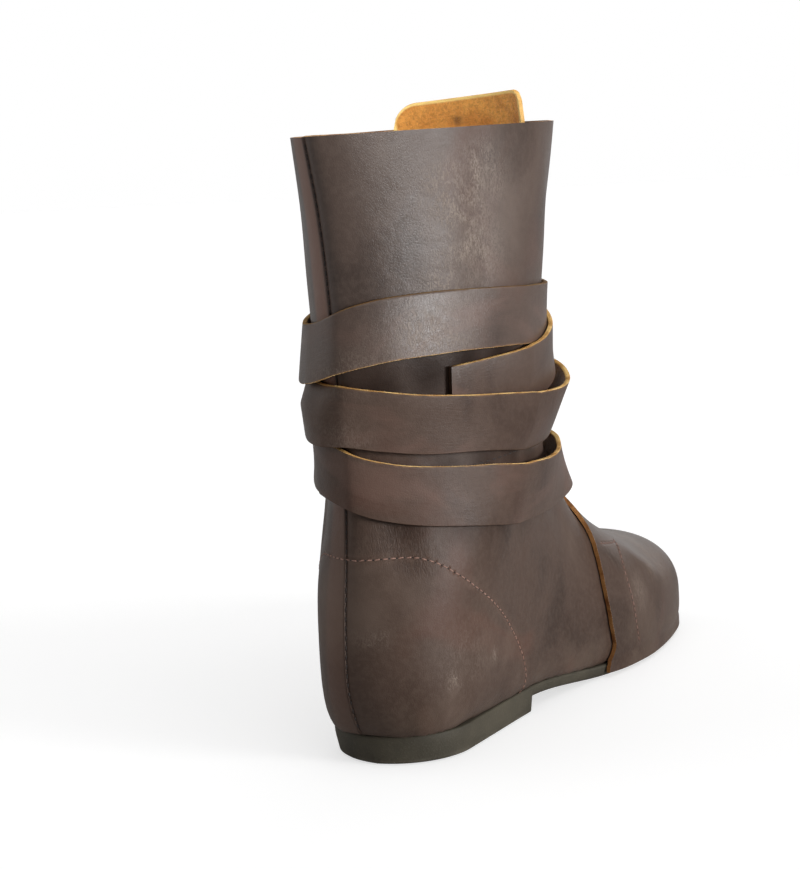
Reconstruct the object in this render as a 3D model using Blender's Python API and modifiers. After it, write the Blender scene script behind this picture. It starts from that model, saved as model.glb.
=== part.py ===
"""Viking boot for the right foot: hollow leather upper on a flat unit sole, with a strap wound round it.

Metres, +Z up, the floor at z = 0. The toe points along -Y and the outer side of the foot is at -X.
The form is worked out in the boot's own directions: 'along' runs forward from the back of the sole,
'up' is the height over the floor, and 'out' is the distance towards the outer side.
"""

import math

import bmesh
import bpy
import numpy as np

# Driving sizes
FOOT_LENGTH = 0.288         # length of the sole
BALL_WIDTH = 0.097          # width of the sole at the ball of the foot
HEEL_WIDTH = 0.062          # width of the sole at the heel
INSTEP_HEIGHT = 0.100       # height of the instep where the shaft begins
COLLAR_HEIGHT = 0.2650      # height of the collar at the back seam
COLLAR_RISE = 0.0010        # how much higher the collar is in front
SHAFT_DEPTH = 0.152         # collar from back to front
SHAFT_WIDTH = 0.104         # collar from side to side
WALL = 0.0020               # leather of quarters, vamp and shaft
SOLE_THICKNESS = 0.0060     # sole under the arch and forepart
HEEL_HEIGHT = 0.0130        # sole and heel block together
HEEL_LENGTH = 0.090         # heel block from back to breast
TOE_SPRING = 0.0060         # lift of the sole at the toe
SOLE_EDGE = 0.0012          # height of the sole's rounded upper and lower edge
SOLE_DRAW_IN = 0.0026       # how far the sole's side is drawn in at the floor
SOLE_TOP_ROUND = 0.0006     # how far its upper edge is rounded inwards
INSOLE_THICKNESS = 0.0025
INSOLE_INSET = 0.0115       # insole's edge inside the sole's edge
TONGUE_THICKNESS = 0.0020
TONGUE_HALF_WIDTH = 0.033
TONGUE_RISE = 0.0150        # tongue above the collar in front
TONGUE_LEAN = 0.0110        # how far the tongue's top leans back from the shaft's front
TONGUE_CORNER = 0.0120      # radius of its top corners
TONGUE_ROOT = 1.45          # where the tongue is sewn in, as a share of the instep height
STRAP_WIDTH = 0.0250
STRAP_THICKNESS = 0.0022
STRAP_OVERHANG = 0.0024     # how much further out the strap reaches on the outer side than the inner
GAP = 0.0003                # clearance between pieces that touch
CUTTER_REACH = 0.4000       # how far the cutters stand out beyond the boot above
CUTTER_DEPTH = 0.0500       # how far they reach below the floor

# Mesh fineness
LOOP_POINTS = 32            # points round each section of the upper
STEPS_PER_ROW = 2           # rings from one table row to the next
STRAP_STEP = 7.5            # degrees of a turn between two points of the strap
STRAP_SHARES = (-0.5, 0.0, 0.5)     # points across the strap, as shares of its width
TONGUE_COLUMNS = 13
TONGUE_LEVELS = 18
SOLE_POINTS = 72
INSOLE_POINTS = 48
NORMAL_STEP = 0.02          # radians to each side of a line up the shaft, for its normals

# Shape of the sole's outline: a row for each station, half widths as shares of the ball width
SOLE_OUTLINE = (
    # along  outer  inner
    (0.00, 0.320, 0.320),
    (0.14, 0.330, 0.325),
    (0.40, 0.370, 0.290),
    (0.62, 0.490, 0.430),
    (0.74, 0.500, 0.485),
    (0.90, 0.435, 0.455),
    (1.00, 0.380, 0.425),
)
HEEL_ROUND = 0.5            # radius of the heel's back as a share of the heel width
TOE_ROUND = 0.15            # length of the toe's round end as a share of the foot length
TOE_POWER = 2.2             # squareness of the toe's round end
TOP_FALL_START = 0.95       # the sole's upper face falls from here, as a share of the heel length
TOP_FALL_END = 0.60         # and is level from here, as a share of the foot length
SPRING_START = 0.78         # toe spring starts here, as a share of the foot length
SIDE_BULGE = 0.15           # share of the draw-in that is left halfway up the sole's side
LOWER_BULGE = 0.46          # and share of it that is left at the top of the lower edge

# Upper, forepart: upright sections from the toe back to the instep. Along is a share of the foot
# length, top a share of the instep height, outer and inner shares of the ball width, bottom a share
# of the sole thickness below the sole's upper face, widest the height of the greatest width as a share.
FOREPART = (
    # along  bottom  top   outer  inner widest base  crown
    (0.997, -0.45, 0.270, 0.100, 0.135, 0.50, 2.2, 2.2),
    (0.986, 0.15, 0.350, 0.200, 0.245, 0.45, 3.0, 2.2),
    (0.957, 0.50, 0.428, 0.312, 0.360, 0.42, 4.0, 2.2),
    (0.900, 0.60, 0.487, 0.420, 0.446, 0.38, 5.0, 2.3),
    (0.818, 0.75, 0.537, 0.486, 0.492, 0.34, 5.0, 2.2),
    (0.725, 0.80, 0.627, 0.512, 0.498, 0.32, 5.0, 2.1),
    (0.635, 0.90, 0.770, 0.503, 0.465, 0.32, 5.0, 1.9),
)

# Upper, ankle: sections that fan out from the instep over the heel. The back end of each lies at
# 'back' along and 'low' up, the front end at 'front' along and 'high' up; lengths are shares of the
# foot length, heights shares of the instep height, half widths shares of the heel width.
ANKLE = (
    # back   low    front  high   outer  inner widest base crown
    (0.540, 0.010, 0.575, 0.930, 0.730, 0.675, 0.33, 5.0, 1.8),
    (0.435, 0.030, 0.552, 1.050, 0.675, 0.600, 0.34, 5.0, 1.9),
    (0.330, 0.080, 0.532, 1.140, 0.640, 0.565, 0.36, 5.0, 2.1),
    (0.215, 0.090, 0.515, 1.210, 0.630, 0.565, 0.40, 5.0, 2.3),
    (0.100, 0.090, 0.500, 1.280, 0.635, 0.575, 0.42, 4.2, 2.5),
    (0.008, 0.100, 0.487, 1.350, 0.655, 0.600, 0.44, 3.0, 2.6),
    (-0.036, 0.330, 0.475, 1.430, 0.675, 0.620, 0.47, 2.2, 2.7),
    (-0.035, 0.600, 0.463, 1.520, 0.695, 0.645, 0.50, 2.0, 2.7),
    (-0.020, 0.900, 0.450, 1.620, 0.705, 0.660, 0.54, 1.7, 2.7),
)

# Upper, shaft: back and front are shares of the shaft depth from the back of the sole, low and high
# shares of the collar height, half widths shares of the shaft width.
SHAFT = (
    # back   low    front  high   outer  inner widest base crown
    (-0.023, 0.440, 0.833, 0.664, 0.430, 0.410, 0.58, 1.50, 2.7),
    (-0.026, 0.588, 0.824, 0.740, 0.445, 0.445, 0.61, 1.55, 2.7),
    (-0.042, 0.740, 0.834, 0.823, 0.468, 0.470, 0.64, 1.55, 2.7),
    (-0.070, 0.873, 0.860, 0.917, 0.488, 0.485, 0.66, 1.50, 2.7),
    (-0.125, 1.000, 0.897, 1.000, 0.502, 0.500, 0.68, 1.45, 2.7),
)

# Strap, from its hidden start at the ankle to its free end: a row for each bend. Turn is in degrees
# round the shaft, 0 at the back seam, 90 on the outer side, 180 in front and 270 on the inner side,
# and goes down as the strap winds on. Height is a share of the collar height; low and high are the
# air below the strap's lower and upper edge, in strap thicknesses.
STRAP_ROUTE = (
    # turn  height  low  high
    (318, 0.478, 0.0, 0.0),
    (296, 0.456, 0.0, 0.0),
    (270, 0.430, 0.0, 0.0),
    (240, 0.414, 0.2, 0.0),
    (210, 0.408, 1.3, 0.5),
    (180, 0.408, 1.6, 1.2),
    (150, 0.402, 1.6, 2.0),
    (120, 0.401, 1.0, 1.8),
    (90, 0.407, 0.2, 0.8),
    (70, 0.415, 0.0, 0.3),
    (50, 0.424, 0.0, 0.2),
    (32, 0.435, 0.0, 0.2),
    (18, 0.447, 0.0, 0.2),
    (0, 0.464, 0.0, 0.1),
    (-30, 0.484, 0.0, 0.0),
    (-60, 0.498, 0.0, 0.0),
    (-90, 0.511, 0.0, 0.0),
    (-135, 0.532, 0.0, 0.0),
    (-180, 0.550, 0.2, 0.8),
    (-210, 0.538, 0.4, 3.0),
    (-232, 0.528, 0.4, 3.8),
    (-260, 0.521, 0.3, 2.0),
    (-280, 0.525, 0.2, 1.0),
    (-300, 0.534, 0.2, 0.4),
    (-322, 0.545, 0.2, 0.3),
    (-340, 0.557, 0.2, 0.2),
    (-360, 0.568, 0.3, 0.0),
    (-390, 0.572, 0.2, 0.0),
    (-420, 0.588, 0.0, 0.0),
    (-450, 0.616, 0.0, 0.0),
    (-495, 0.660, 0.0, 0.0),
    (-540, 0.690, 0.0, 0.0),
    (-570, 0.694, 0.0, 0.0),
    (-600, 0.692, 0.0, 0.0),
    (-630, 0.693, 0.0, 0.0),
    (-650, 0.698, 0.0, 0.0),
    (-670, 0.703, 0.6, 0.0),
    (-690, 0.702, 1.4, 0.0),
    (-705, 0.695, 1.9, 0.0),
    (-720, 0.684, 2.0, 0.0),
    (-740, 0.667, 1.6, 0.2),
    (-765, 0.660, 0.5, 0.2),
    (-810, 0.672, 0.0, 0.0),
    (-855, 0.680, 0.0, 0.0),
    (-900, 0.672, 0.6, 0.0),
    (-930, 0.652, 1.6, 0.0),
    (-950, 0.632, 1.2, 0.0),
    (-970, 0.614, 0.5, 0.0),
    (-990, 0.598, 0.1, 0.0),
    (-1034, 0.583, 0.0, 0.0),
)
STRAP_TUCKED = (3, 1)       # this round of the strap runs under that one, not over it

# Vamp's rear edge seen from the side, from the strap down to the sole: shares of the foot length and
# of the instep height
VAMP_EDGE = (
    # along  up
    (0.700, 1.02),
    (0.640, 1.01),
    (0.585, 0.99),
    (0.573, 0.90),
    (0.570, 0.80),
    (0.567, 0.72),
    (0.553, 0.62),
    (0.541, 0.49),
    (0.539, 0.36),
    (0.546, 0.24),
    (0.552, 0.14),
    (0.540, 0.05),
    (0.525, -0.10),
)


def smooth_table(rows, steps):
    """The rows of a table with steps more values between each two, on a smooth curve through them."""
    table = np.array(rows, float)
    padded = np.vstack([2 * table[0] - table[1], table, 2 * table[-1] - table[-2]])
    out = []
    for i in range(len(table) - 1):
        a, b, c, d = padded[i:i + 4]
        for k in range(steps):
            s = k / steps
            out.append(b + 0.5 * s * (c - a + s * (2 * a - 5 * b + 4 * c - d + s * (3 * (b - c) + d - a))))
    out.append(table[-1])
    return np.array(out)


def sole_top(along):
    """Height of the sole's upper face."""
    start, end = HEEL_LENGTH * TOP_FALL_START, FOOT_LENGTH * TOP_FALL_END
    fall = np.clip((along - start) / (end - start), 0, 1)
    fall = fall * fall * (3 - 2 * fall)
    spring = np.clip((along / FOOT_LENGTH - SPRING_START) / (1 - SPRING_START), 0, 1.1)
    return HEEL_HEIGHT + (SOLE_THICKNESS - HEEL_HEIGHT) * fall + TOE_SPRING * spring ** 2


def sole_bottom(along):
    """Height of the sole's under face: flat heel block, arch, flat forepart and toe spring."""
    lifted = np.maximum(sole_top(along) - SOLE_THICKNESS, 0)
    return np.where(along <= HEEL_LENGTH, 0, lifted)


def sole_half_width(along, inner):
    """Half width of the sole's outline on the outer or the inner side."""
    table = smooth_table(SOLE_OUTLINE, 8)
    width = np.interp(along / FOOT_LENGTH, table[:, 0], table[:, 2 if inner else 1]) * BALL_WIDTH
    radius = HEEL_ROUND * HEEL_WIDTH
    back = np.clip(1 - along / radius, 0, 1)
    toe = TOE_ROUND * FOOT_LENGTH
    front = np.clip((along - (FOOT_LENGTH - toe)) / toe, 0, 1)
    return width * np.sqrt(1 - back ** 2) * (1 - front ** TOE_POWER) ** (1 / TOE_POWER)


def upper_table():
    """All sections of the upper, toe to collar, as lengths: back end, front end, half widths, shape."""
    rows = []
    for along, bottom, top, outer, inner, widest, base, crown in FOREPART:
        v = along * FOOT_LENGTH
        low = float(sole_top(v)) - bottom * SOLE_THICKNESS
        rows.append((v, low, v, top * INSTEP_HEIGHT, outer * BALL_WIDTH, inner * BALL_WIDTH,
                     widest, base, crown))
    for back, low, front, high, outer, inner, widest, base, crown in ANKLE:
        rows.append((back * FOOT_LENGTH, low * INSTEP_HEIGHT, front * FOOT_LENGTH, high * INSTEP_HEIGHT,
                     outer * HEEL_WIDTH, inner * HEEL_WIDTH, widest, base, crown))
    front_height = COLLAR_HEIGHT + COLLAR_RISE
    for back, low, front, high, outer, inner, widest, base, crown in SHAFT:
        rows.append((back * SHAFT_DEPTH, low * COLLAR_HEIGHT, front * SHAFT_DEPTH, high * front_height,
                     outer * SHAFT_WIDTH, inner * SHAFT_WIDTH, widest, base, crown))
    return rows


def section_points(row, turns):
    """Points (out, along, up) of one section at the given turns, 0 at its back end and pi at its front."""
    v0, z0, v1, z1, outer, inner, widest, base, crown = row
    c, s = np.cos(turns), np.sin(turns)
    power = np.where(c > 0, 2 / base, 2 / crown)
    side = np.abs(s) ** power
    reach = np.abs(c) ** power
    q = np.where(c > 0, widest * (1 - reach), widest + (1 - widest) * reach)
    out = side * np.where(s > 0, outer, -inner)
    return np.stack([out, v0 + q * (v1 - v0), z0 + q * (z1 - z0)], axis=-1)


def upper_grid(steps=STEPS_PER_ROW, points=LOOP_POINTS, first=0, last=None, turns=None):
    """Grid of points (out, along, up) on the upper's outer face, ring by ring from the toe."""
    rows = smooth_table(upper_table(), steps)[first:last]
    if turns is None:
        turns = np.arange(points) * 2 * math.pi / points
    return np.array([section_points(row, turns) for row in rows])


def grid_normals(grid, closed):
    """Outward normals of a grid of points, as long as its rings run from the toe to the collar."""
    along_rings = np.gradient(grid, axis=0)
    if closed:
        round_rings = np.roll(grid, -1, axis=1) - np.roll(grid, 1, axis=1)
    else:
        round_rings = np.gradient(grid, axis=1)
    normal = np.cross(round_rings, along_rings)
    normal /= np.maximum(np.linalg.norm(normal, axis=-1, keepdims=True), 1e-12)
    return normal


def to_world(points):
    """Boot directions to world: out to -X, along to -Y from the back, up to Z."""
    points = np.asarray(points, float)
    toe = FOREPART[0][0] * FOOT_LENGTH + 2 * GAP + WALL
    back = SHAFT[-1][0] * SHAFT_DEPTH
    middle = (toe + back) / 2
    return np.stack([STRAP_OVERHANG / 2 - points[..., 0], middle - points[..., 1], points[..., 2]], axis=-1)


def mesh_object(name, verts, faces, collection, material=None):
    """A new object with this mesh, its faces turned to point out."""
    mesh = bpy.data.meshes.new(name)
    mesh.from_pydata([tuple(map(float, v)) for v in verts], [], faces)
    bm = bmesh.new()
    bm.from_mesh(mesh)
    bmesh.ops.recalc_face_normals(bm, faces=bm.faces)
    bm.to_mesh(mesh)
    bm.free()
    obj = bpy.data.objects.new(name, mesh)
    collection.objects.link(obj)
    if material is not None:
        mesh.materials.append(material)
        mesh.shade_smooth()
        mesh.set_sharp_from_angle(angle=math.radians(40))
    return obj


def grid_faces(rings, points, closed):
    """Quads of a grid of rings by points."""
    faces = []
    for i in range(rings - 1):
        for j in range(points if closed else points - 1):
            k = (j + 1) % points
            faces.append((i * points + j, i * points + k, (i + 1) * points + k, (i + 1) * points + j))
    return faces


def side_prism(name, outline, collection):
    """A cutter right across the boot with this outline of (along, up), seen from the side."""
    reach = BALL_WIDTH
    n = len(outline)
    verts = [to_world((side, v, z)) for side in (-reach, reach) for v, z in outline]
    faces = [tuple(range(n)), tuple(range(2 * n - 1, n - 1, -1))]
    faces += [(i, (i + 1) % n, n + (i + 1) % n, n + i) for i in range(n)]
    cutter = mesh_object(name, verts, faces, collection)
    cutter.hide_render = True
    cutter.display_type = "WIRE"
    return cutter


def cut(obj, cutter):
    """A Boolean modifier that takes the cutter out of the object."""
    modifier = obj.modifiers.new(cutter.name, "BOOLEAN")
    modifier.operation = "DIFFERENCE"
    modifier.object = cutter
    modifier.solver = "EXACT"


def thicken(obj, thickness):
    """A Solidify modifier that gives an outer face its wall on the inside."""
    modifier = obj.modifiers.new("wall", "SOLIDIFY")
    modifier.thickness = thickness
    modifier.offset = -1
    modifier.use_even_offset = True


def leather(name, colour, roughness):
    """A plain material for one piece."""
    material = bpy.data.materials.new(name)
    material.use_nodes = True
    shader = material.node_tree.nodes["Principled BSDF"]
    shader.inputs["Base Color"].default_value = (*colour, 1)
    shader.inputs["Roughness"].default_value = roughness
    shader.inputs["Metallic"].default_value = 0
    return material


def toe_closed_faces(rings, points):
    """Faces of a tube that is closed at the toe by a fan and open at the collar."""
    faces = grid_faces(rings, points, True)
    centre = rings * points
    faces += [((j + 1) % points, j, centre) for j in range(points)]
    return faces


def upper(collection, cutters, material):
    """Hollow leather of quarters and shaft, open at the collar and over the sole."""
    grid = upper_grid()
    rings, points = grid.shape[:2]
    verts = np.vstack([grid.reshape(-1, 3), grid[0].mean(axis=0)])
    obj = mesh_object("upper", to_world(verts), toe_closed_faces(rings, points), collection, material)
    thicken(obj, WALL)
    cut(obj, cutters["under"])
    return obj


def vamp(collection, cutters, material):
    """Toe piece over the upper, cut from the upper's own form a wall further out."""
    last = (len(FOREPART) + 3) * STEPS_PER_ROW
    grid = upper_grid(last=last + 2)
    grid = (grid + grid_normals(grid, True) * (2 * GAP + WALL))[:last]
    rings, points = grid.shape[:2]
    tip = grid[0].mean(axis=0)
    tip[1] = FOREPART[0][0] * FOOT_LENGTH + 2 * GAP + WALL
    verts = np.vstack([grid.reshape(-1, 3), tip])
    obj = mesh_object("vamp", to_world(verts), toe_closed_faces(rings, points), collection, material)
    thicken(obj, WALL)
    cut(obj, cutters["under"])
    cut(obj, cutters["behind"])
    return obj


def outline_rings(name, levels, collection, material, fineness):
    """A plate with the sole's outline: levels are (inset, height function), from its under face up."""
    half = fineness // 2
    sweep = (1 - np.cos(np.linspace(0, math.pi, half + 1))) / 2 * FOOT_LENGTH
    near_breast = FOOT_LENGTH / fineness
    breast = [HEEL_LENGTH, HEEL_LENGTH + 2 * GAP]
    along = np.sort(np.concatenate([sweep[abs(sweep - HEEL_LENGTH) > near_breast], breast]))
    n = len(along)
    verts, faces = [], []
    for inset, height in levels:
        scale = 1 - 2 * inset / FOOT_LENGTH
        v = inset + along * scale
        outer = sole_half_width(along, False)
        inner = sole_half_width(along, True)
        shrink_outer = np.where(outer > 0, np.maximum(outer - inset, 0) / np.maximum(outer, 1e-9), 0)
        shrink_inner = np.where(inner > 0, np.maximum(inner - inset, 0) / np.maximum(inner, 1e-9), 0)
        z = height(along)
        loop = [(outer[i] * shrink_outer[i], v[i], z[i]) for i in range(n)]
        loop += [(-inner[i] * shrink_inner[i], v[i], z[i]) for i in range(n - 2, 0, -1)]
        verts += loop
    count = 2 * n - 2
    faces += grid_faces(len(levels), count, True)

    def across(base, flip):
        for i in range(n - 1):
            a, b = base + i, base + i + 1
            c, d = base + (count - i - 1) % count, base + (count - i) % count
            quad = [p for k, p in enumerate((a, b, c, d)) if p not in (a, b, c, d)[:k]]
            faces.append(tuple(reversed(quad)) if flip else tuple(quad))

    across(0, True)
    across((len(levels) - 1) * count, False)
    return mesh_object(name, to_world(verts), faces, collection, material)


def sole(collection, material):
    """Unit sole: heel block, arch, flat forepart and toe spring, its side drawn in below."""
    levels = (
        (SOLE_DRAW_IN, sole_bottom),
        (SOLE_DRAW_IN * LOWER_BULGE, lambda v: sole_bottom(v) + SOLE_EDGE),
        (SOLE_DRAW_IN * SIDE_BULGE, lambda v: (sole_bottom(v) + sole_top(v)) / 2),
        (0.0, lambda v: sole_top(v) - SOLE_EDGE),
        (SOLE_TOP_ROUND, sole_top),
    )
    return outline_rings("sole", levels, collection, material, SOLE_POINTS)


def insole(collection, material):
    """Thin board on the sole, inside the upper."""
    levels = (
        (INSOLE_INSET, lambda v: sole_top(v) + GAP),
        (INSOLE_INSET, lambda v: sole_top(v) + GAP + INSOLE_THICKNESS),
    )
    return outline_rings("insole", levels, collection, material, INSOLE_POINTS)


def fine_shaft_rows():
    """Sections of the upper from the ankle to the collar, close together."""
    steps = 8
    return smooth_table(upper_table(), steps)[len(FOREPART) * steps:]


def shaft_line(turn, rows):
    """Points and outward normals of the upper's outer face up one line at this turn."""
    turns = np.array([turn - NORMAL_STEP, turn, turn + NORMAL_STEP])
    grid = np.array([section_points(row, turns) for row in rows])
    return grid[:, 1], grid_normals(grid, False)[:, 1]


def point_at(points, height):
    """The point of a rising line at this height."""
    return np.array([np.interp(height, points[:, 2], points[:, k]) for k in range(3)])


def lifted_point(line, height, lift):
    """The point of such a line at this height, lifted off the face."""
    points, normals = line
    normal = np.array([np.interp(height, points[:, 2], normals[:, k]) for k in range(3)])
    return point_at(points, height) + normal / np.linalg.norm(normal) * lift


def strap_lifts(heights, air, round_points):
    """Strap thicknesses under the lower edge, middle and upper edge at each point of the strap.

    Where two rounds of the strap share a place, the later one is laid over the earlier one.
    """
    reach = STRAP_WIDTH / COLLAR_HEIGHT
    count = len(heights)
    rounds = np.arange(count) // round_points
    lifts = air.copy()
    for _ in range(int(rounds[-1]) + 3):
        needed = air.copy()
        for i in range(count):
            for other in range(i % round_points, count, round_points):
                tucked = (rounds[other], rounds[i]) == STRAP_TUCKED
                held = (rounds[i], rounds[other]) == STRAP_TUCKED
                if held or other == i or (other > i and not tucked):
                    continue
                for k, share in enumerate(STRAP_SHARES):
                    across = (heights[i] + share * reach - heights[other]) / reach
                    if -1 - min(0.5 - share, 0.5) < across - 0.5 < min(share + 0.5, 0.5):
                        under = np.interp(across, STRAP_SHARES, lifts[other])
                        needed[i, k] = max(needed[i, k], under + 1)
        padded = np.pad(needed, ((3, 3), (0, 0)), mode="edge")
        widest = np.array([padded[i + 1:i + 6].max(axis=0) for i in range(count)])
        padded = np.pad(widest, ((1, 1), (0, 0)), mode="edge")
        lifts = (padded[:-2] + padded[1:-1] + padded[2:]) / 3
    return lifts


def strap(collection, material):
    """One long flat strap wound round the shaft, each turn laid on what lies below it."""
    route = np.array(STRAP_ROUTE)
    round_points = int(360 / STRAP_STEP)
    count = int(abs(route[-1, 0] - route[0, 0]) / STRAP_STEP) + 1
    turns = route[0, 0] - np.arange(count) * STRAP_STEP
    table = smooth_table(route, 12)
    table = table[np.argsort(table[:, 0])]
    heights, low_air, high_air = [np.interp(turns, table[:, 0], table[:, k]) for k in (1, 2, 3)]
    air = np.stack([low_air, (low_air + high_air) / 2, high_air], axis=1)
    lifts = strap_lifts(heights, air, round_points)
    rows = fine_shaft_rows()
    verts = []
    for turn, height, lift in zip(turns, heights, lifts):
        line = shaft_line(math.radians(turn), rows)
        levels = [height * COLLAR_HEIGHT + share * STRAP_WIDTH for share in STRAP_SHARES]
        seats = [2 * GAP + share * (STRAP_THICKNESS + 2 * GAP) for share in lift]
        across = list(zip(levels, seats))
        verts += [lifted_point(line, level, seat) for level, seat in across]
        verts += [lifted_point(line, level, seat + STRAP_THICKNESS) for level, seat in reversed(across)]
    points = 6
    last = (count - 1) * points
    faces = grid_faces(count, points, True)
    for start in (0, last):
        faces += [(start, start + 1, start + 4, start + 5), (start + 1, start + 2, start + 3, start + 4)]
    return mesh_object("strap", to_world(verts), faces, collection, material)


def tongue(collection, material):
    """Front flap inside the shaft, standing over the collar with rounded corners."""
    columns, levels, corner, bottom = TONGUE_COLUMNS, TONGUE_LEVELS, TONGUE_CORNER, TONGUE_ROOT * INSTEP_HEIGHT
    collar = COLLAR_HEIGHT + COLLAR_RISE
    rows = fine_shaft_rows()
    lines = [shaft_line(math.pi + turn, rows) for turn in np.linspace(1.3, -1.3, 27)]
    outs = np.linspace(-1, 1, columns) * TONGUE_HALF_WIDTH
    verts = []
    for depth in (WALL + 2 * GAP, WALL + 2 * GAP + TONGUE_THICKNESS):
        for i in range(levels):
            for out in outs:
                over = max(abs(out) - (TONGUE_HALF_WIDTH - corner), 0)
                edge = collar + TONGUE_RISE - corner + math.sqrt(corner ** 2 - over ** 2)
                z = bottom + (edge - bottom) * i / (levels - 1)
                wall = np.array([point_at(points - depth * normals, min(z, collar)) for points, normals in lines])
                lean = TONGUE_LEAN * (max(z - bottom, 0) / (collar - bottom)) ** 2
                verts.append((out, np.interp(out, wall[:, 0], wall[:, 1]) - lean, z))
    n = levels * columns
    faces = grid_faces(levels, columns, False)
    faces += [tuple(n + k for k in reversed(f)) for f in grid_faces(levels, columns, False)]
    rim = list(range(columns))
    rim += [i * columns + columns - 1 for i in range(1, levels)]
    rim += [(levels - 1) * columns + j for j in range(columns - 2, -1, -1)]
    rim += [i * columns for i in range(levels - 2, 0, -1)]
    for a, b in zip(rim, rim[1:] + rim[:1]):
        faces.append((a, b, n + b, n + a))
    return mesh_object("tongue", to_world(verts), faces, collection, material)


def boot():
    """All pieces of the boot, each its own object."""
    for obj in list(bpy.data.objects):
        bpy.data.objects.remove(obj)
    pieces = bpy.data.collections.new("viking_boot")
    helpers = bpy.data.collections.new("cutters")
    for collection in (pieces, helpers):
        bpy.context.scene.collection.children.link(collection)

    brown = leather("oiled leather", (0.105, 0.070, 0.055), 0.55)
    strap_brown = leather("strap leather", (0.115, 0.075, 0.060), 0.55)
    suede = leather("flesh side leather", (0.45, 0.22, 0.07), 0.9)
    rubber = leather("sole rubber", (0.060, 0.050, 0.036), 0.7)
    board = leather("insole leather", (0.40, 0.26, 0.14), 0.8)

    spread = np.linspace(-0.12, 1.12, 40) * FOOT_LENGTH
    under = [(v, float(sole_top(np.array(v))) + GAP) for v in spread]
    under += [(spread[-1], -CUTTER_DEPTH), (spread[0], -CUTTER_DEPTH)]
    edge = smooth_table(VAMP_EDGE, 4) * np.array([FOOT_LENGTH, INSTEP_HEIGHT])
    behind = [(edge[0, 0], CUTTER_REACH)] + [tuple(p) for p in edge] + [(edge[-1, 0], -CUTTER_DEPTH)]
    behind += [(-BALL_WIDTH, -CUTTER_DEPTH), (-BALL_WIDTH, CUTTER_REACH)]
    cutters = {
        "under": side_prism("under", under, helpers),
        "behind": side_prism("behind", behind, helpers),
    }

    sole(pieces, rubber)
    insole(pieces, board)
    upper(pieces, cutters, brown)
    vamp(pieces, cutters, brown)
    tongue(pieces, suede)
    strap(pieces, strap_brown)


boot()
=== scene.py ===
"""Viking boot for the right foot: oiled brown leather, a lapped back seam and a long strap wound round it."""

import math

import bmesh
import bpy
import numpy as np
from mathutils import Matrix, Vector
from mathutils.bvhtree import BVHTree


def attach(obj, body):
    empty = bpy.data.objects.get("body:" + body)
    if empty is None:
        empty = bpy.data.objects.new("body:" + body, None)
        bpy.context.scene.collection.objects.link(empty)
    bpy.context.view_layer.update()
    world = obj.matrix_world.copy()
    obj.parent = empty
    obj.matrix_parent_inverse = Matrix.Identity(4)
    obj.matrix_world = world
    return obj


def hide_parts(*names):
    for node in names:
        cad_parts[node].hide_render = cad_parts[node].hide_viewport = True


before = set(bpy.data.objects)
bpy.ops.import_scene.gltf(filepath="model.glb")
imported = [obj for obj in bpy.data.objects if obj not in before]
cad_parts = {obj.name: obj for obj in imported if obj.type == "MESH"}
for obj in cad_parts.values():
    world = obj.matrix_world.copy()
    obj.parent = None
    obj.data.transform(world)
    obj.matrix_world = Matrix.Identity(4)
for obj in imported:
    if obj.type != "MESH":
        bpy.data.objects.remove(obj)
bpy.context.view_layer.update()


# ---------------------------------------------------------------- upper
# Quarters and shaft of one oiled hide, 2 mm thick, drawn over a last and closed by a lapped seam down
# the back. Its flesh side is bare suede inside. A counter is stitched into the heel.

FOOT_LENGTH = 0.288
BALL_WIDTH = 0.097
HEEL_WIDTH = 0.062
INSTEP_HEIGHT = 0.100
COLLAR_HEIGHT = 0.265
COLLAR_RISE = 0.001
SHAFT_DEPTH = 0.152
SHAFT_WIDTH = 0.104
HEEL_HEIGHT = 0.013
HEEL_LENGTH = 0.090
SOLE_THICKNESS = 0.006
TOE_SPRING = 0.006
HIDE = 0.002
SIDE_SHIFT = 0.0012
AIR = 0.0003

FOREPART = (
    # along  bottom  top   outer  inner widest base  crown
    (0.997, -0.45, 0.270, 0.100, 0.135, 0.50, 2.2, 2.2),
    (0.986, 0.15, 0.350, 0.200, 0.245, 0.45, 3.0, 2.2),
    (0.957, 0.50, 0.428, 0.312, 0.360, 0.42, 4.0, 2.2),
    (0.900, 0.60, 0.487, 0.420, 0.446, 0.38, 5.0, 2.3),
    (0.818, 0.75, 0.537, 0.486, 0.492, 0.34, 5.0, 2.2),
    (0.725, 0.80, 0.627, 0.512, 0.498, 0.32, 5.0, 2.1),
    (0.635, 0.90, 0.770, 0.503, 0.465, 0.32, 5.0, 1.9),
)
ANKLE = (
    # back   low    front  high   outer  inner widest base crown
    (0.540, 0.010, 0.575, 0.930, 0.730, 0.675, 0.33, 5.0, 1.8),
    (0.435, 0.030, 0.552, 1.050, 0.675, 0.600, 0.34, 5.0, 1.9),
    (0.330, 0.080, 0.532, 1.140, 0.640, 0.565, 0.36, 5.0, 2.1),
    (0.215, 0.090, 0.515, 1.210, 0.630, 0.565, 0.40, 5.0, 2.3),
    (0.100, 0.090, 0.500, 1.280, 0.635, 0.575, 0.42, 4.2, 2.5),
    (0.008, 0.100, 0.487, 1.350, 0.655, 0.600, 0.44, 3.0, 2.6),
    (-0.036, 0.330, 0.475, 1.430, 0.675, 0.620, 0.47, 2.2, 2.7),
    (-0.035, 0.600, 0.463, 1.520, 0.695, 0.645, 0.50, 2.0, 2.7),
    (-0.020, 0.900, 0.450, 1.620, 0.705, 0.660, 0.54, 1.7, 2.7),
)
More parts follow.
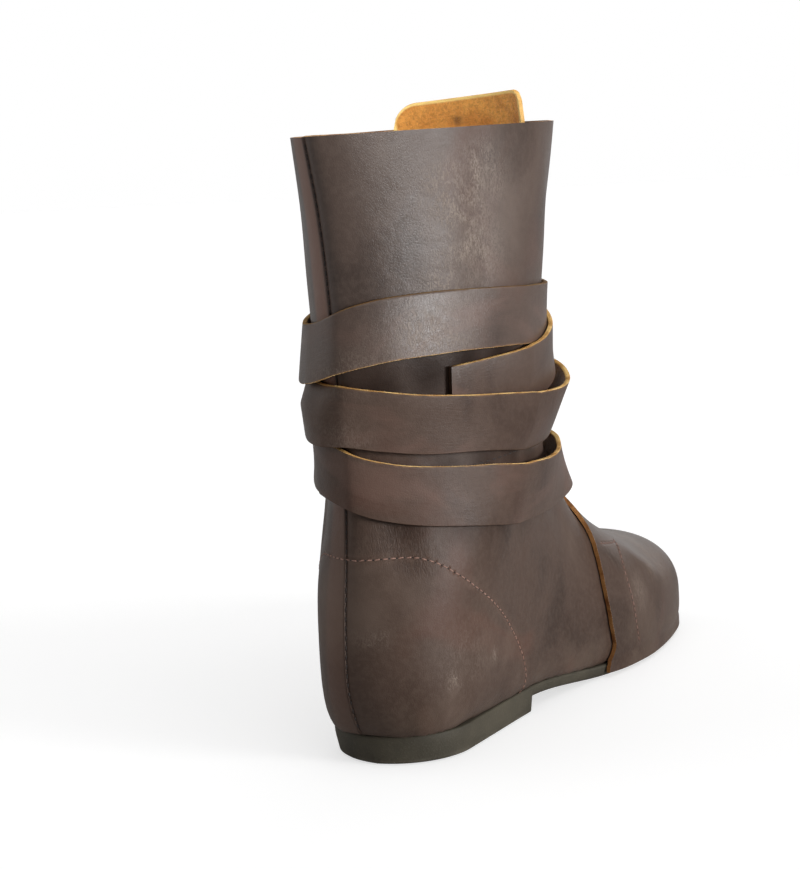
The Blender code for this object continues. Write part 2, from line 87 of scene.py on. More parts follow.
SHAFT = (
    # back   low    front  high   outer  inner widest base crown
    (-0.023, 0.440, 0.833, 0.664, 0.430, 0.410, 0.58, 1.50, 2.7),
    (-0.026, 0.588, 0.824, 0.740, 0.445, 0.445, 0.61, 1.55, 2.7),
    (-0.042, 0.740, 0.834, 0.823, 0.468, 0.470, 0.64, 1.55, 2.7),
    (-0.070, 0.873, 0.860, 0.917, 0.488, 0.485, 0.66, 1.50, 2.7),
    (-0.125, 1.000, 0.897, 1.000, 0.502, 0.500, 0.68, 1.45, 2.7),
)

SEAM_SIDE = 0.004           # the back seam's stitches lie this far to the inner side
LAP_STEP = 0.0008           # the inner quarter lies this much over the outer one at the seam
LAP_FADE = 0.022
LAP_END, LAP_END_FADE = 0.120, 0.040    # along: the step is gone from here on, and fades over this length
STEP_FOOT = (0.010, 0.012)  # the step starts at this height and is whole this much higher
FOLD_FOOT = (0.012, 0.015)  # and so do the folds
SEAM_FOOT = 0.009           # the seam's colour ends at this height
# The lighter band beside the seam is a painted highlight on the raised lap
BAND_PLACE = 0.007          # middle of the lighter band beside the seam
UPPER_GLOSS = (0.135, 0.200, 0.14, 0.50)    # from this height to that one, from this gloss to that one
FINE = 8                    # rings of the mesh from one table row to the next
SEAM_COLUMNS = (-0.0160, -0.0120, -0.0085, -0.0055, -0.0032, -0.0018, -0.0010, -0.0005, -0.00015,
                0.00015, 0.0005, 0.0010, 0.0018, 0.0032, 0.0055, 0.0085, 0.0120, 0.0160)
WIDE_COLUMNS = 150

# Line of the counter's stitches: a ray from inside, turned from straight back (0) to the outer side
# (90), leaves the boot's middle at this place along and at this height, in millimetres
COUNTER_LINE = (
    # angle along  up
    (0, 20, 90.0),
    (25, 20, 90.2),
    (45, 20, 90.0),
    (62, 20, 89.2),
    (78, 20, 85.6),
    (90, 20, 80.2),
    (90, 27.5, 74.1),
    (90, 39.8, 65.0),
    (90, 52.5, 55.0),
    (90, 64.0, 43.0),
    (90, 71.5, 32.0),
    (90, 76.0, 22.0),
    (90, 78.5, 12.5),
)

# Folds and dents that the hide keeps, each a soft mound (height over 0) or trough (under 0) on one
# side; place and lengths in millimetres, the angle from upright towards the toe
FOLDS = (
    # side  along  up   angle  long wide height
    (1, 3, 98, 4, 15, 5.0, -1.1),
    (1, -3, 99, 3, 17, 4.0, 0.8),
    (1, 11, 99, 8, 14, 4.0, 0.6),
    (1, 50, 60, 60, 38, 18, -0.7),
    (1, 92, 72, 20, 34, 16, 0.8),
    (1, 128, 46, 74, 34, 15, -0.9),
    (1, 204, 46, 124, 17, 4.5, 1.0),
    (1, 216, 51, 120, 19, 7.0, -0.8),
    (1, 199, 30, 70, 12, 8.0, -0.5),
    (-1, 206, 44, 122, 17, 5.5, 0.7),
    (1, 112, 88, -35, 32, 9, 0.7),
    (1, 122, 82, -35, 32, 9, -0.7),
    (1, 30, 222, 4, 34, 12, 0.9),
    (1, 46, 215, -4, 36, 9, -0.8),
    (1, 84, 236, 8, 30, 16, 0.7),
    (1, 108, 226, -14, 26, 9, -0.9),
    (-1, 44, 226, -6, 36, 12, 0.9),
    (-1, 78, 224, 8, 34, 12, -0.9),
    (-1, 18, 100, 6, 18, 6, -0.9),
    (-1, 60, 62, 58, 36, 16, -0.8),
    (-1, 104, 60, 30, 34, 14, 0.8),
    (-1, 126, 84, -35, 30, 9, -0.8),
    (-1, 114, 90, -35, 30, 9, 0.7),
)


def smooth_table(rows, steps):
    """The rows of a table with steps values from one to the next, on a smooth curve through them."""
    table = np.array(rows, float)
    padded = np.vstack([2 * table[0] - table[1], table, 2 * table[-1] - table[-2]])
    out = []
    for i in range(len(table) - 1):
        a, b, c, d = padded[i:i + 4]
        for k in range(steps):
            s = k / steps
            out.append(b + 0.5 * s * (c - a + s * (2 * a - 5 * b + 4 * c - d + s * (3 * (b - c) + d - a))))
    out.append(table[-1])
    return np.array(out)


def sole_top(along):
    """Height of the sole's upper face."""
    start, end = HEEL_LENGTH * 0.95, FOOT_LENGTH * 0.60
    fall = np.clip((along - start) / (end - start), 0, 1)
    fall = fall * fall * (3 - 2 * fall)
    spring = np.clip((along - FOOT_LENGTH * 0.78) / (FOOT_LENGTH * 0.22), 0, 1.1)
    return HEEL_HEIGHT + (SOLE_THICKNESS - HEEL_HEIGHT) * fall + TOE_SPRING * spring ** 2


def upper_rows():
    """All sections from the toe to the collar: back end, front end, half widths and shape."""
    rows = []
    for along, bottom, top, outer, inner, widest, base, crown in FOREPART:
        v = along * FOOT_LENGTH
        rows.append((v, float(sole_top(v)) - bottom * SOLE_THICKNESS, v, top * INSTEP_HEIGHT,
                     outer * BALL_WIDTH, inner * BALL_WIDTH, widest, base, crown))
    for back, low, front, high, outer, inner, widest, base, crown in ANKLE:
        rows.append((back * FOOT_LENGTH, low * INSTEP_HEIGHT, front * FOOT_LENGTH, high * INSTEP_HEIGHT,
                     outer * HEEL_WIDTH, inner * HEEL_WIDTH, widest, base, crown))
    for back, low, front, high, outer, inner, widest, base, crown in SHAFT:
        rows.append((back * SHAFT_DEPTH, low * COLLAR_HEIGHT, front * SHAFT_DEPTH,
                     high * (COLLAR_HEIGHT + COLLAR_RISE), outer * SHAFT_WIDTH, inner * SHAFT_WIDTH,
                     widest, base, crown))
    return rows


def section_points(row, turns):
    """Points (out, along, up) of one section, turn 0 at its back end and pi at its front end."""
    v0, z0, v1, z1, outer, inner, widest, base, crown = row
    c, s = np.cos(turns), np.sin(turns)
    power = np.where(c > 0, 2 / base, 2 / crown)
    side = np.abs(s) ** power
    reach = np.abs(c) ** power
    q = np.where(c > 0, widest * (1 - reach), widest + (1 - widest) * reach)
    return np.stack([side * np.where(s > 0, outer, -inner), v0 + q * (v1 - v0), z0 + q * (z1 - z0)], -1)


def seam_spaced_loop(row, columns):
    """One section with its points set out from the back seam: columns near it, then even steps."""
    turns = np.linspace(-math.pi, math.pi, 1441)
    points = section_points(row, turns)
    arc = np.concatenate([[0], np.cumsum(np.linalg.norm(np.diff(points, axis=0), axis=1))])
    around = arc[-1]
    near = (turns < 0) & (turns > -1.6)
    side = min(SEAM_SIDE, 0.3 * abs(points[near, 0].min()))
    line = np.interp(-side, points[near, 0], arc[near])
    wide = np.linspace(columns[-1], around + columns[0], WIDE_COLUMNS + 2)[1:-1]
    places = line + np.concatenate([columns, wide])
    turn = np.interp(np.mod(places, around), arc, turns)
    return section_points(row, turn), np.concatenate([columns, wide - around * (wide > around / 2)])


def to_world(points):
    """Boot directions (out, along, up) to world: out to -X, along to -Y, up to Z."""
    points = np.asarray(points, float)
    toe = FOREPART[0][0] * FOOT_LENGTH + 2 * AIR + HIDE
    middle = (toe + SHAFT[-1][0] * SHAFT_DEPTH) / 2
    return np.stack([SIDE_SHIFT - points[..., 0], middle - points[..., 1], points[..., 2]], axis=-1)


def grid_normals(grid):
    """Outward normals of closed rings that run from the toe to the collar."""
    rings = np.gradient(grid, axis=0)
    round_rings = np.roll(grid, -1, axis=1) - np.roll(grid, 1, axis=1)
    normal = np.cross(round_rings, rings)
    return normal / np.maximum(np.linalg.norm(normal, axis=-1, keepdims=True), 1e-12)


def fold_height(points, folds):
    """How far the folds lift each point off the smooth form, in metres."""
    out, along, up = (points[..., k] * 1000 for k in range(3))
    total = np.zeros(out.shape)
    for side, v, z, angle, long, wide, height in folds:
        a = math.radians(angle)
        dv, dz = along - v, up - z
        run, off = dv * math.sin(a) + dz * math.cos(a), dv * math.cos(a) - dz * math.sin(a)
        share = 1 / (1 + np.exp(-np.clip(side * out / 2.0, -30, 30)))
        total += share * height * 0.001 * np.exp(-(run / long) ** 2 - (off / wide) ** 2)
    return total


def quad_grid(rings, points, closed=True):
    """Faces of a grid of rings."""
    faces = []
    for i in range(rings - 1):
        for j in range(points if closed else points - 1):
            k = (j + 1) % points
            faces.append((i * points + j, i * points + k, (i + 1) * points + k, (i + 1) * points + j))
    return faces


def new_object(name, data):
    """An object with this data, in the scene."""
    obj = bpy.data.objects.new(name, data)
    bpy.context.scene.collection.objects.link(obj)
    return obj


def add_piece(name, verts, faces, materials, values=None, smooth=True):
    """A new object with this mesh, its materials and one number a point for each named attribute."""
    mesh = bpy.data.meshes.new(name)
    mesh.from_pydata([tuple(map(float, v)) for v in verts], [], faces)
    for key, numbers in (values or {}).items():
        layer = mesh.attributes.new(key, "FLOAT", "POINT")
        layer.data.foreach_set("value", np.asarray(numbers, np.float32).ravel())
    for material in materials:
        mesh.materials.append(material)
    mesh.update()
    if smooth:
        mesh.shade_smooth()
    return new_object(name, mesh)


def bake_modifiers(obj):
    """Turns the object's modifiers into its plain mesh."""
    graph = bpy.context.evaluated_depsgraph_get()
    mesh = bpy.data.meshes.new_from_object(obj.evaluated_get(graph), preserve_all_data_layers=True,
                                           depsgraph=graph)
    obj.modifiers.clear()
    old, obj.data = obj.data, mesh
    bpy.data.meshes.remove(old)
    mesh.name = obj.name


def wall_inwards(obj, thickness, inside, rim):
    """Gives an outer face its wall, with its own material slots for the inside and the cut edges."""
    modifier = obj.modifiers.new("wall", "SOLIDIFY")
    modifier.thickness = thickness
    modifier.offset = -1
    modifier.material_offset = inside
    modifier.material_offset_rim = rim
    bake_modifiers(obj)
    obj.data.shade_smooth()
    obj.data.set_sharp_from_angle(angle=math.radians(50))


def node_group(name, inputs, outputs):
    """An empty shader group with these named sockets, its input and output nodes."""
    group = bpy.data.node_groups.new(name, "ShaderNodeTree")
    for label, kind, value in inputs:
        socket = group.interface.new_socket(label, in_out="INPUT", socket_type=kind)
        if value is not None:
            socket.default_value = value
    for label, kind in outputs:
        group.interface.new_socket(label, in_out="OUTPUT", socket_type=kind)
    return group, group.nodes.new("NodeGroupInput"), group.nodes.new("NodeGroupOutput")


def noise(tree, vector, scale, detail=3.0, rough=0.5, distortion=0.0):
    """A noise texture's factor at this many cells to the metre."""
    node = tree.nodes.new("ShaderNodeTexNoise")
    node.inputs["Detail"].default_value = detail
    node.inputs["Roughness"].default_value = rough
    node.inputs["Distortion"].default_value = distortion
    if isinstance(scale, (int, float)):
        node.inputs["Scale"].default_value = scale
    else:
        tree.links.new(scale, node.inputs["Scale"])
    tree.links.new(vector, node.inputs["Vector"])
    return node.outputs["Fac"]


def math_node(tree, operation, a, b=0.0, clamp=False):
    """A Math node; a and b are sockets or numbers."""
    node = tree.nodes.new("ShaderNodeMath")
    node.operation = operation
    node.use_clamp = clamp
    for k, value in enumerate((a, b)):
        if isinstance(value, (int, float)):
            node.inputs[k].default_value = value
        else:
            tree.links.new(value, node.inputs[k])
    return node.outputs[0]


def ramp(tree, value, low, high, start=0.0, end=1.0):
    """Smooth step of a value: start at low, end at high."""
    node = tree.nodes.new("ShaderNodeMapRange")
    node.interpolation_type = "SMOOTHSTEP"
    for label, number in (("From Min", low), ("From Max", high), ("To Min", start), ("To Max", end)):
        node.inputs[label].default_value = number
    tree.links.new(value, node.inputs["Value"])
    return node.outputs["Result"]


def mix_colour(tree, factor, a, b):
    """A blend of two colours; each is a socket or (r, g, b)."""
    node = tree.nodes.new("ShaderNodeMix")
    node.data_type = "RGBA"
    for socket, value in ((node.inputs[0], factor), (node.inputs[6], a), (node.inputs[7], b)):
        if isinstance(value, (int, float)):
            socket.default_value = value
        elif isinstance(value, tuple):
            socket.default_value = (*value, 1)
        else:
            tree.links.new(value, socket)
    return node.outputs[2]


def place(tree):
    """Object coordinates."""
    return tree.nodes.new("ShaderNodeTexCoord").outputs["Object"]


def height_of(tree, where):
    """The height of a place over the floor."""
    node = tree.nodes.new("ShaderNodeSeparateXYZ")
    tree.links.new(where, node.inputs["Vector"])
    return node.outputs["Z"]


def stretched(tree, vector, scale):
    """The vector with its parts scaled, for streaks that run one way."""
    node = tree.nodes.new("ShaderNodeMapping")
    node.inputs["Scale"].default_value = scale
    tree.links.new(vector, node.inputs["Vector"])
    return node.outputs["Vector"]


def hide_group():
    """Oiled hide: cloudy pull-up, warmer patches, worn scratched patches lightened as painted highlight, and
    grain.
    """
    group, given, result = node_group(
        "oiled_hide",
        (("Position", "NodeSocketVector", None), ("WearAndHighlight", "NodeSocketFloat", 0.0),
         ("Dark", "NodeSocketColor", (0.044, 0.027, 0.020, 1)),
         ("Middle", "NodeSocketColor", (0.072, 0.046, 0.035, 1)),
         ("Light", "NodeSocketColor", (0.130, 0.092, 0.072, 1)),
         ("Warm", "NodeSocketColor", (0.108, 0.052, 0.037, 1))),
        (("Colour", "NodeSocketColor"), ("Roughness", "NodeSocketFloat"), ("Relief", "NodeSocketFloat")))
    where = given.outputs["Position"]
    cloud = noise(group, where, 22, 4, 0.55, 0.6)
    soft = noise(group, where, 9, 2, 0.5, 0.3)
    speck = noise(group, where, 420, 3, 0.6)
    fibre = noise(group, stretched(group, where, (1.0, 1.0, 0.45)), 1000, 5, 0.70, 1.6)
    blotch = math_node(group, "ADD", math_node(group, "MULTIPLY", cloud, 0.65),
                       math_node(group, "MULTIPLY", soft, 0.35))
    base = mix_colour(group, ramp(group, blotch, 0.34, 0.52), given.outputs["Dark"], given.outputs["Middle"])
    base = mix_colour(group, ramp(group, blotch, 0.52, 0.72, 0.0, 0.75), base, given.outputs["Light"])
    warmth = ramp(group, noise(group, where, 15, 3, 0.5, 0.8), 0.54, 0.72, 0.0, 0.5)
    base = mix_colour(group, warmth, base, given.outputs["Warm"])
    base = mix_colour(group, ramp(group, speck, 0.42, 0.62, 0.0, 0.16), base, given.outputs["Light"])
    worn = ramp(group, noise(group, where, 60, 5, 0.7, 1.0), 0.34, 0.62, 0.25, 1.0)
    # Worn nap, lightened further as painted highlight where the light falls on it
    patchy = math_node(group, "MULTIPLY", given.outputs["WearAndHighlight"], worn)
    patchy = math_node(group, "MULTIPLY", patchy, ramp(group, fibre, 0.44, 0.58, 0.10, 1.0), True)
    base = mix_colour(group, patchy, base, (0.265, 0.210, 0.172))
    rough = ramp(group, blotch, 0.35, 0.70, 0.35, 0.47)
    rough = math_node(group, "ADD", rough, math_node(group, "MULTIPLY", patchy, 0.16))
    pore = group.nodes.new("ShaderNodeTexVoronoi")
    pore.feature = "DISTANCE_TO_EDGE"
    pore.inputs["Scale"].default_value = 850
    group.links.new(where, pore.inputs["Vector"])
    grain = ramp(group, pore.outputs["Distance"], 0.0, 0.16)
    relief = math_node(group, "MULTIPLY", grain, 0.00002)
    relief = math_node(group, "ADD", relief, math_node(group, "MULTIPLY", fibre, 0.00005))
    swell = noise(group, where, 55, 3, 0.5, 0.5)
    relief = math_node(group, "ADD", relief, math_node(group, "MULTIPLY", swell, 0.00042))
    relief = math_node(group, "ADD", relief, math_node(group, "MULTIPLY", patchy, 0.00004))
    group.links.new(base, result.inputs["Colour"])
    group.links.new(rough, result.inputs["Roughness"])
    group.links.new(relief, result.inputs["Relief"])
    return group


def place_group(tree, group):
    """A group node in this material."""
    node = tree.nodes.new("ShaderNodeGroup")
    node.node_tree = group
    return node


def finish_surface(material, colour, roughness, relief, strength=1.0, specular=0.5):
    """Feeds the material's shader; relief is a height in metres."""
    tree = material.node_tree
    shader = tree.nodes["Principled BSDF"]
    for label, value in (("Base Color", colour), ("Roughness", roughness), ("Specular IOR Level", specular)):
        if isinstance(value, (int, float)):
            shader.inputs[label].default_value = value
        else:
            tree.links.new(value, shader.inputs[label])
    if relief is not None:
        bump = tree.nodes.new("ShaderNodeBump")
        bump.inputs["Distance"].default_value = 1.0
        bump.inputs["Strength"].default_value = strength
        tree.links.new(relief, bump.inputs["Height"])
        tree.links.new(bump.outputs["Normal"], shader.inputs["Normal"])


def new_material(name):
    """An empty material with its shader."""
    material = bpy.data.materials.new(name)
    material.use_nodes = True
    return material


def attribute(tree, name):
    """A number kept on the points of the piece."""
    node = tree.nodes.new("ShaderNodeAttribute")
    node.attribute_name = name
    return node.outputs["Fac"]


HIDE_GROUP = hide_group()


def groove(tree, distance, half_width, depth):
    """A pressed line along distance 0, as a height."""
    size = math_node(tree, "ABSOLUTE", distance)
    return ramp(tree, size, 0.0, half_width, -depth, 0.0)


def upper_leather():
    """Oiled hide: seam pull, worn places with painted highlight, painted shade in creases, at the seam and
    under the strap.
    """
    material = new_material("boot_leather")
    tree = material.node_tree
    where = place(tree)
    hide = place_group(tree, HIDE_GROUP)
    tree.links.new(where, hide.inputs["Position"])
    tree.links.new(attribute(tree, "wear_and_highlight"), hide.inputs["WearAndHighlight"])
    seam, counter = attribute(tree, "seam"), attribute(tree, "counter")
    colour, relief = hide.outputs["Colour"], hide.outputs["Relief"]
    height = height_of(tree, where)
    # Painted highlight on the raised lap beside the seam, stronger higher up; it also takes gloss away
    beside = math_node(tree, "ABSOLUTE", math_node(tree, "ADD", seam, BAND_PLACE))
    band = ramp(tree, beside, 0.004, 0.009, 0.60, 0.0)
    band = math_node(tree, "MULTIPLY", band, ramp(tree, height, 0.08, 0.18, 0.30, 1.0))
    colour = mix_colour(tree, band, colour, (0.270, 0.150, 0.112))
    # Painted shade of the lap's step: a dark line along the seam
    line = ramp(tree, math_node(tree, "ABSOLUTE", seam), 0.0003, 0.0010, 0.60, 0.0)
    colour = mix_colour(tree, line, colour, (0.034, 0.020, 0.015))
    pull = ramp(tree, math_node(tree, "ABSOLUTE", counter), 0.0, 0.0035, 0.30, 0.0)
    colour = mix_colour(tree, pull, colour, (0.135, 0.080, 0.060))
    # Creases: wrinkles in the relief, their darkening painted shade
    crease = noise(tree, stretched(tree, where, (1.0, 1.0, 0.25)), 520, 3, 0.6, 2.0)
    crease = math_node(tree, "MULTIPLY", ramp(tree, crease, 0.42, 0.60), attribute(tree, "creased"))
    colour = mix_colour(tree, math_node(tree, "MULTIPLY", crease, 0.25), colour, (0.030, 0.022, 0.020))
    relief = math_node(tree, "ADD", relief, math_node(tree, "MULTIPLY", crease, -0.00012))
    relief = math_node(tree, "ADD", relief, groove(tree, seam, 0.0012, 0.00012))
    relief = math_node(tree, "ADD", relief, groove(tree, counter, 0.0016, 0.0004))
    # Painted shade under and between the strap's turns: darker colour, and less gloss there
    strap_shade = math_node(tree, "MULTIPLY", attribute(tree, "darkened"), 0.85)
    colour = mix_colour(tree, strap_shade, colour, (0.016, 0.010, 0.008))
    dust = ramp(tree, height, 0.012, 0.034, 0.35, 0.0)
    dust = math_node(tree, "MULTIPLY", dust, ramp(tree, noise(tree, where, 60, 4), 0.35, 0.65))
    colour = mix_colour(tree, dust, colour, (0.120, 0.088, 0.066))
    gloss = ramp(tree, height, *UPPER_GLOSS)
    gloss = math_node(tree, "MULTIPLY", gloss, math_node(tree, "SUBTRACT", 1.0, strap_shade))
    gloss = math_node(tree, "MULTIPLY", gloss, math_node(tree, "SUBTRACT", 1.0, band))
    finish_surface(material, colour, hide.outputs["Roughness"], relief, 1.0, gloss)
    return material


def suede(name, dark, light):
    """Bare flesh side of the hide: short brushed nap."""
    material = new_material(name)
    tree = material.node_tree
    where = place(tree)
    nap = noise(tree, where, 700, 5, 0.7, 0.8)
    cloud = noise(tree, where, 40, 4, 0.6, 0.7)
    colour = mix_colour(tree, ramp(tree, cloud, 0.35, 0.68), dark, light)
    colour = mix_colour(tree, ramp(tree, nap, 0.40, 0.64, 0.0, 0.45), colour, tuple(0.45 * c for c in dark))
    finish_surface(material, colour, 0.92, math_node(tree, "MULTIPLY", nap, 0.0006), 1.0, 0.2)
    shader = tree.nodes["Principled BSDF"]
    shader.inputs["Sheen Weight"].default_value = 0.35
    shader.inputs["Sheen Roughness"].default_value = 0.5
    return material


def raw_edge(name, dark, light):
    """Cut edge of the hide: bright tan core fibres."""
    material = new_material(name)
    tree = material.node_tree
    where = place(tree)
    fibre = noise(tree, where, 1500, 4, 0.7, 0.5)
    cloud = noise(tree, where, 90, 3, 0.6)
    colour = mix_colour(tree, ramp(tree, cloud, 0.36, 0.64), dark, light)
    colour = mix_colour(tree, ramp(tree, fibre, 0.44, 0.66, 0.0, 0.35), colour, tuple(0.5 * c for c in dark))
    finish_surface(material, colour, 0.85, math_node(tree, "MULTIPLY", fibre, 0.0004), 1.0, 0.25)
    return material


BOOT_LEATHER = upper_leather()
FLESH = suede("flesh_leather", (0.200, 0.085, 0.028), (0.330, 0.150, 0.050))
COLLAR_EDGE = raw_edge("collar_edge", (0.400, 0.190, 0.080), (0.760, 0.470, 0.220))

# Worn patches: scuffs low on the foot, and high on the shaft worn nap lightened as painted highlight
WEAR_AND_HIGHLIGHTS = (
    # side along  up  radius strength
    (1, 34, 236, 17, 1.0),
    (1, 40, 214, 15, 1.0),
    (1, 28, 200, 12, 0.8),
    (1, 47, 246, 12, 0.9),
    (1, -8.8, 57.6, 3.0, 0.6),
    (1, 41.5, 40.3, 3.5, 0.9),
    (1, 13.9, 36.1, 3.5, 0.8),
    (1, 24, 44, 16, 0.25),
    (-1, 42, 232, 20, 0.9),
    (-1, 36, 48, 9, 0.7),
    (-1, 96, 40, 9, 0.5),
)
# Painted highlights where the strap's turns catch the light
STRAP_HIGHLIGHTS = (
    (1, 14, 182, 15, 0.8),
    (1, 26, 184, 12, 0.7),
    (0, -12, 168, 10, 0.4),
    (0, -14, 138, 10, 0.5),
    (-1, 40, 150, 16, 0.4),
)
# Painted highlights on the toe where it catches the light
VAMP_HIGHLIGHTS = (
    (1, 232, 50, 16, 0.6),
    (1, 214, 44, 7, 0.6),
    (1, 186, 36, 9, 0.5),
    (-1, 236, 50, 16, 0.5),
)
STRAP_SHADE_PATCHES = (
    # side along  up  radius strength: painted shade where the strap's turns shade the shaft
    (1, 2, 160, 13, 1.0),
    (1, 20, 164, 13, 1.0),
    (1, 38, 168, 13, 1.0),
    (1, 56, 170, 12, 1.0),
    (1, 8, 120, 8, 0.7),
    (1, 26, 122, 8, 0.7),
    (1, 44, 124, 9, 0.7),
    (1, 62, 126, 9, 0.7),
    (1, 80, 128, 9, 0.7),
    (1, 8, 102, 7, 0.5),
    (1, 26, 98, 7, 0.4),
    (1, 50, 96, 8, 0.35),
    (1, 76, 96, 8, 0.35),
    (-1, 30, 122, 9, 0.5),
    (-1, 40, 168, 10, 0.5),
)
# Creased places: wrinkled relief darkened with painted shade
CREASED = ((1, 3, 97, 9), (1, 6, 88, 6), (-1, 18, 98, 9), (1, 98, 108, 10), (1, 110, 178, 12))


def patches(points, table):
    """How strongly listed round patches cover each point; side 0 is both sides."""
    out, along, up = (points[..., k] * 1000 for k in range(3))
    total = np.zeros(out.shape)
    for side, v, z, radius, *strength in table:
        near = np.exp(-((along - v) ** 2 + (up - z) ** 2) / radius ** 2)
        near /= 1 + (np.exp(-np.clip(side * out / 4, -30, 30)) if side else 0)
        total = np.maximum(total, near * (strength[0] if strength else 1.0))
    return total


def cast_line(tree, places, steps=12):
    """Points and normals where rays from the boot's middle meet a face: rows of (angle, along, up)."""
    rows = smooth_table(places, steps) * np.array([math.pi / 180, 0.001, 0.001])
    spots, normals = [], []
    for angle, along, up in rows:
        start = to_world(np.array([0.0, along, up]))
        ahead = to_world(np.array([math.sin(angle), along - math.cos(angle), up])) - start
        spot, normal, _, _ = tree.ray_cast(Vector(start), Vector(ahead).normalized())
        if spot is not None:
            spots.append(tuple(spot))
            normals.append(tuple(normal if normal.dot(Vector(ahead)) > 0 else -normal))
    return np.array(spots), np.array(normals)


def gap_to_line(points, line):
    """Distance of each point from a line of points in space."""
    best = np.full(points.shape[:-1], 1e9)
    for a, b in zip(line[:-1], line[1:]):
        run = b - a
        t = np.clip(((points - a) @ run) / max(run @ run, 1e-12), 0, 1)
        best = np.minimum(best, np.linalg.norm(points - (a + t[..., None] * run), axis=-1))
    return best


def upper_sheet():
    """Outer face of the upper as rings, with the seam's step and folds, and distances from the seam."""
    rows = smooth_table(upper_rows(), FINE)
    rings, seam = zip(*(seam_spaced_loop(row, np.array(SEAM_COLUMNS)) for row in rows))
    grid, seam = np.array(rings), np.array(seam)
    step = np.where(seam < 0, LAP_STEP * np.exp(-(seam / LAP_FADE) ** 2), 0.0)
    along, up = grid[..., 1], grid[..., 2]
    step *= np.clip((up - STEP_FOOT[0]) / STEP_FOOT[1], 0, 1) * np.clip((LAP_END - along) / LAP_END_FADE, 0, 1)
    lift = step + fold_height(grid, FOLDS) * np.clip((up - FOLD_FOOT[0]) / FOLD_FOOT[1], 0, 1)
    return grid + grid_normals(grid) * lift[..., None], np.where(up > SEAM_FOOT, seam, 1.0)


def drop_under_sole(verts, faces, values, over=0.0):
    """Leaves out what lies under the sole's upper face and sets the cut edge there, or this far lower."""
    verts = verts.copy()
    level = sole_top(verts[:, 1]) + AIR - over
    under = verts[:, 2] < level
    kept = [f for f in faces if not all(under[list(f)])]
    verts[under, 2] = np.maximum(verts[under, 2], level[under])
    used = np.unique(np.concatenate([np.array(f) for f in kept]))
    number = -np.ones(len(verts), int)
    number[used] = np.arange(len(used))
    kept = [tuple(number[list(f)]) for f in kept]
    return verts[used], kept, {key: value.ravel()[used] for key, value in values.items()}


def closed_toe(rings, points):
    """Faces of a ringed tube with its toe closed by one face."""
    return quad_grid(rings, points) + [tuple(range(points))[::-1]]


upper_grid, seam_gap = upper_sheet()
rings, points = upper_grid.shape[:2]
sheet = upper_grid.reshape(-1, 3)
upper_tree = BVHTree.FromPolygons([tuple(p) for p in to_world(sheet)], closed_toe(rings, points))
outer_counter = cast_line(upper_tree, COUNTER_LINE)
inner_counter = cast_line(upper_tree, [(-angle, along, up) for angle, along, up in COUNTER_LINE])
counter_gap = np.minimum(gap_to_line(to_world(sheet), outer_counter[0]),
                         gap_to_line(to_world(sheet), inner_counter[0]))
verts, faces, values = drop_under_sole(sheet, closed_toe(rings, points), {
    "seam": seam_gap,
    "counter": counter_gap,
    "wear_and_highlight": patches(sheet, WEAR_AND_HIGHLIGHTS),
    "creased": patches(sheet, CREASED),
    "darkened": patches(sheet, STRAP_SHADE_PATCHES),
})
upper = add_piece("upper_leather", to_world(verts), faces, (BOOT_LEATHER, FLESH, COLLAR_EDGE), values)
wall_inwards(upper, HIDE, 1, 2)
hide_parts("upper")
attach(upper, "root")


# ---------------------------------------------------------------- vamp
# Toe piece of the same hide, laid over the quarters and sewn down behind the ball of the foot. Its
# rear edge is left raw with a row of stitches in front of it, and its foot hangs over the sole's side.

VAMP_EDGE = (
    # along  up, shares of the foot length and of the instep height
    (0.700, 1.02),
    (0.640, 1.01),
    (0.585, 0.99),
    (0.573, 0.90),
    (0.570, 0.80),
    (0.567, 0.72),
    (0.553, 0.62),
    (0.541, 0.49),
    (0.539, 0.36),
    (0.546, 0.24),
    (0.552, 0.14),
    (0.540, 0.05),
    (0.525, -0.10),
)
VAMP_LINES = (
    # on each side the row in front of the ball and the short bar that ties its top to the edge: along
    # and up in millimetres
    ((191, 60), (184, 55), (178.5, 48), (177, 40), (177.5, 30), (179, 20), (181, 12.5)),
    ((168, 63.4), (176, 61.8), (184, 60.4), (191, 59.4)),
)
VAMP_RINGS = 90
VAMP_OVER = 0.0042          # how far the vamp hangs over the sole's side
VAMP_OVER_END = (0.255, 0.275)          # along: it hangs less from here on, and no more there
VAMP_SLANT = 0.25           # how fast its side comes in again with height
VAMP_FOOT = 0.006           # how high over the sole it is pushed out
VAMP_SIDE = 0.5             # and from this share of the sole's half width outwards
VAMP_WAVE = 0.00022         # size of the waves of its raw edge
TOE_DOME = 0.0012           # how far the toe's tip stands out past its first ring
TOE_RINGS = (0.10, 0.93, 8)

# Half widths of the sole, which the vamp clears
SOLE_OUTLINE = (
    # along  outer  inner
    (0.00, 0.320, 0.320),
    (0.14, 0.330, 0.325),
    (0.40, 0.370, 0.290),
    (0.62, 0.490, 0.430),
    (0.74, 0.500, 0.485),
    (0.90, 0.435, 0.455),
    (1.00, 0.380, 0.425),
)
HEEL_ROUND = 0.5
TOE_ROUND = 0.15
TOE_POWER = 2.2
VAMP_LEATHER = BOOT_LEATHER.copy()
VAMP_LEATHER.name = "vamp_leather"
VAMP_CUT = raw_edge("vamp_cut", (0.240, 0.090, 0.026), (0.520, 0.240, 0.080))


def sole_half_width(along, inner):
    """Half width of the sole's outline on the outer or the inner side."""
    table = smooth_table(SOLE_OUTLINE, 12)
    width = np.interp(along / FOOT_LENGTH, table[:, 0], table[:, 2 if inner else 1]) * BALL_WIDTH
    back = np.clip(1 - along / (HEEL_ROUND * HEEL_WIDTH), 0, 1)
    toe = TOE_ROUND * FOOT_LENGTH
    front = np.clip((along - (FOOT_LENGTH - toe)) / toe, 0, 1)
    return width * np.sqrt(1 - back ** 2) * (1 - front ** TOE_POWER) ** (1 / TOE_POWER)


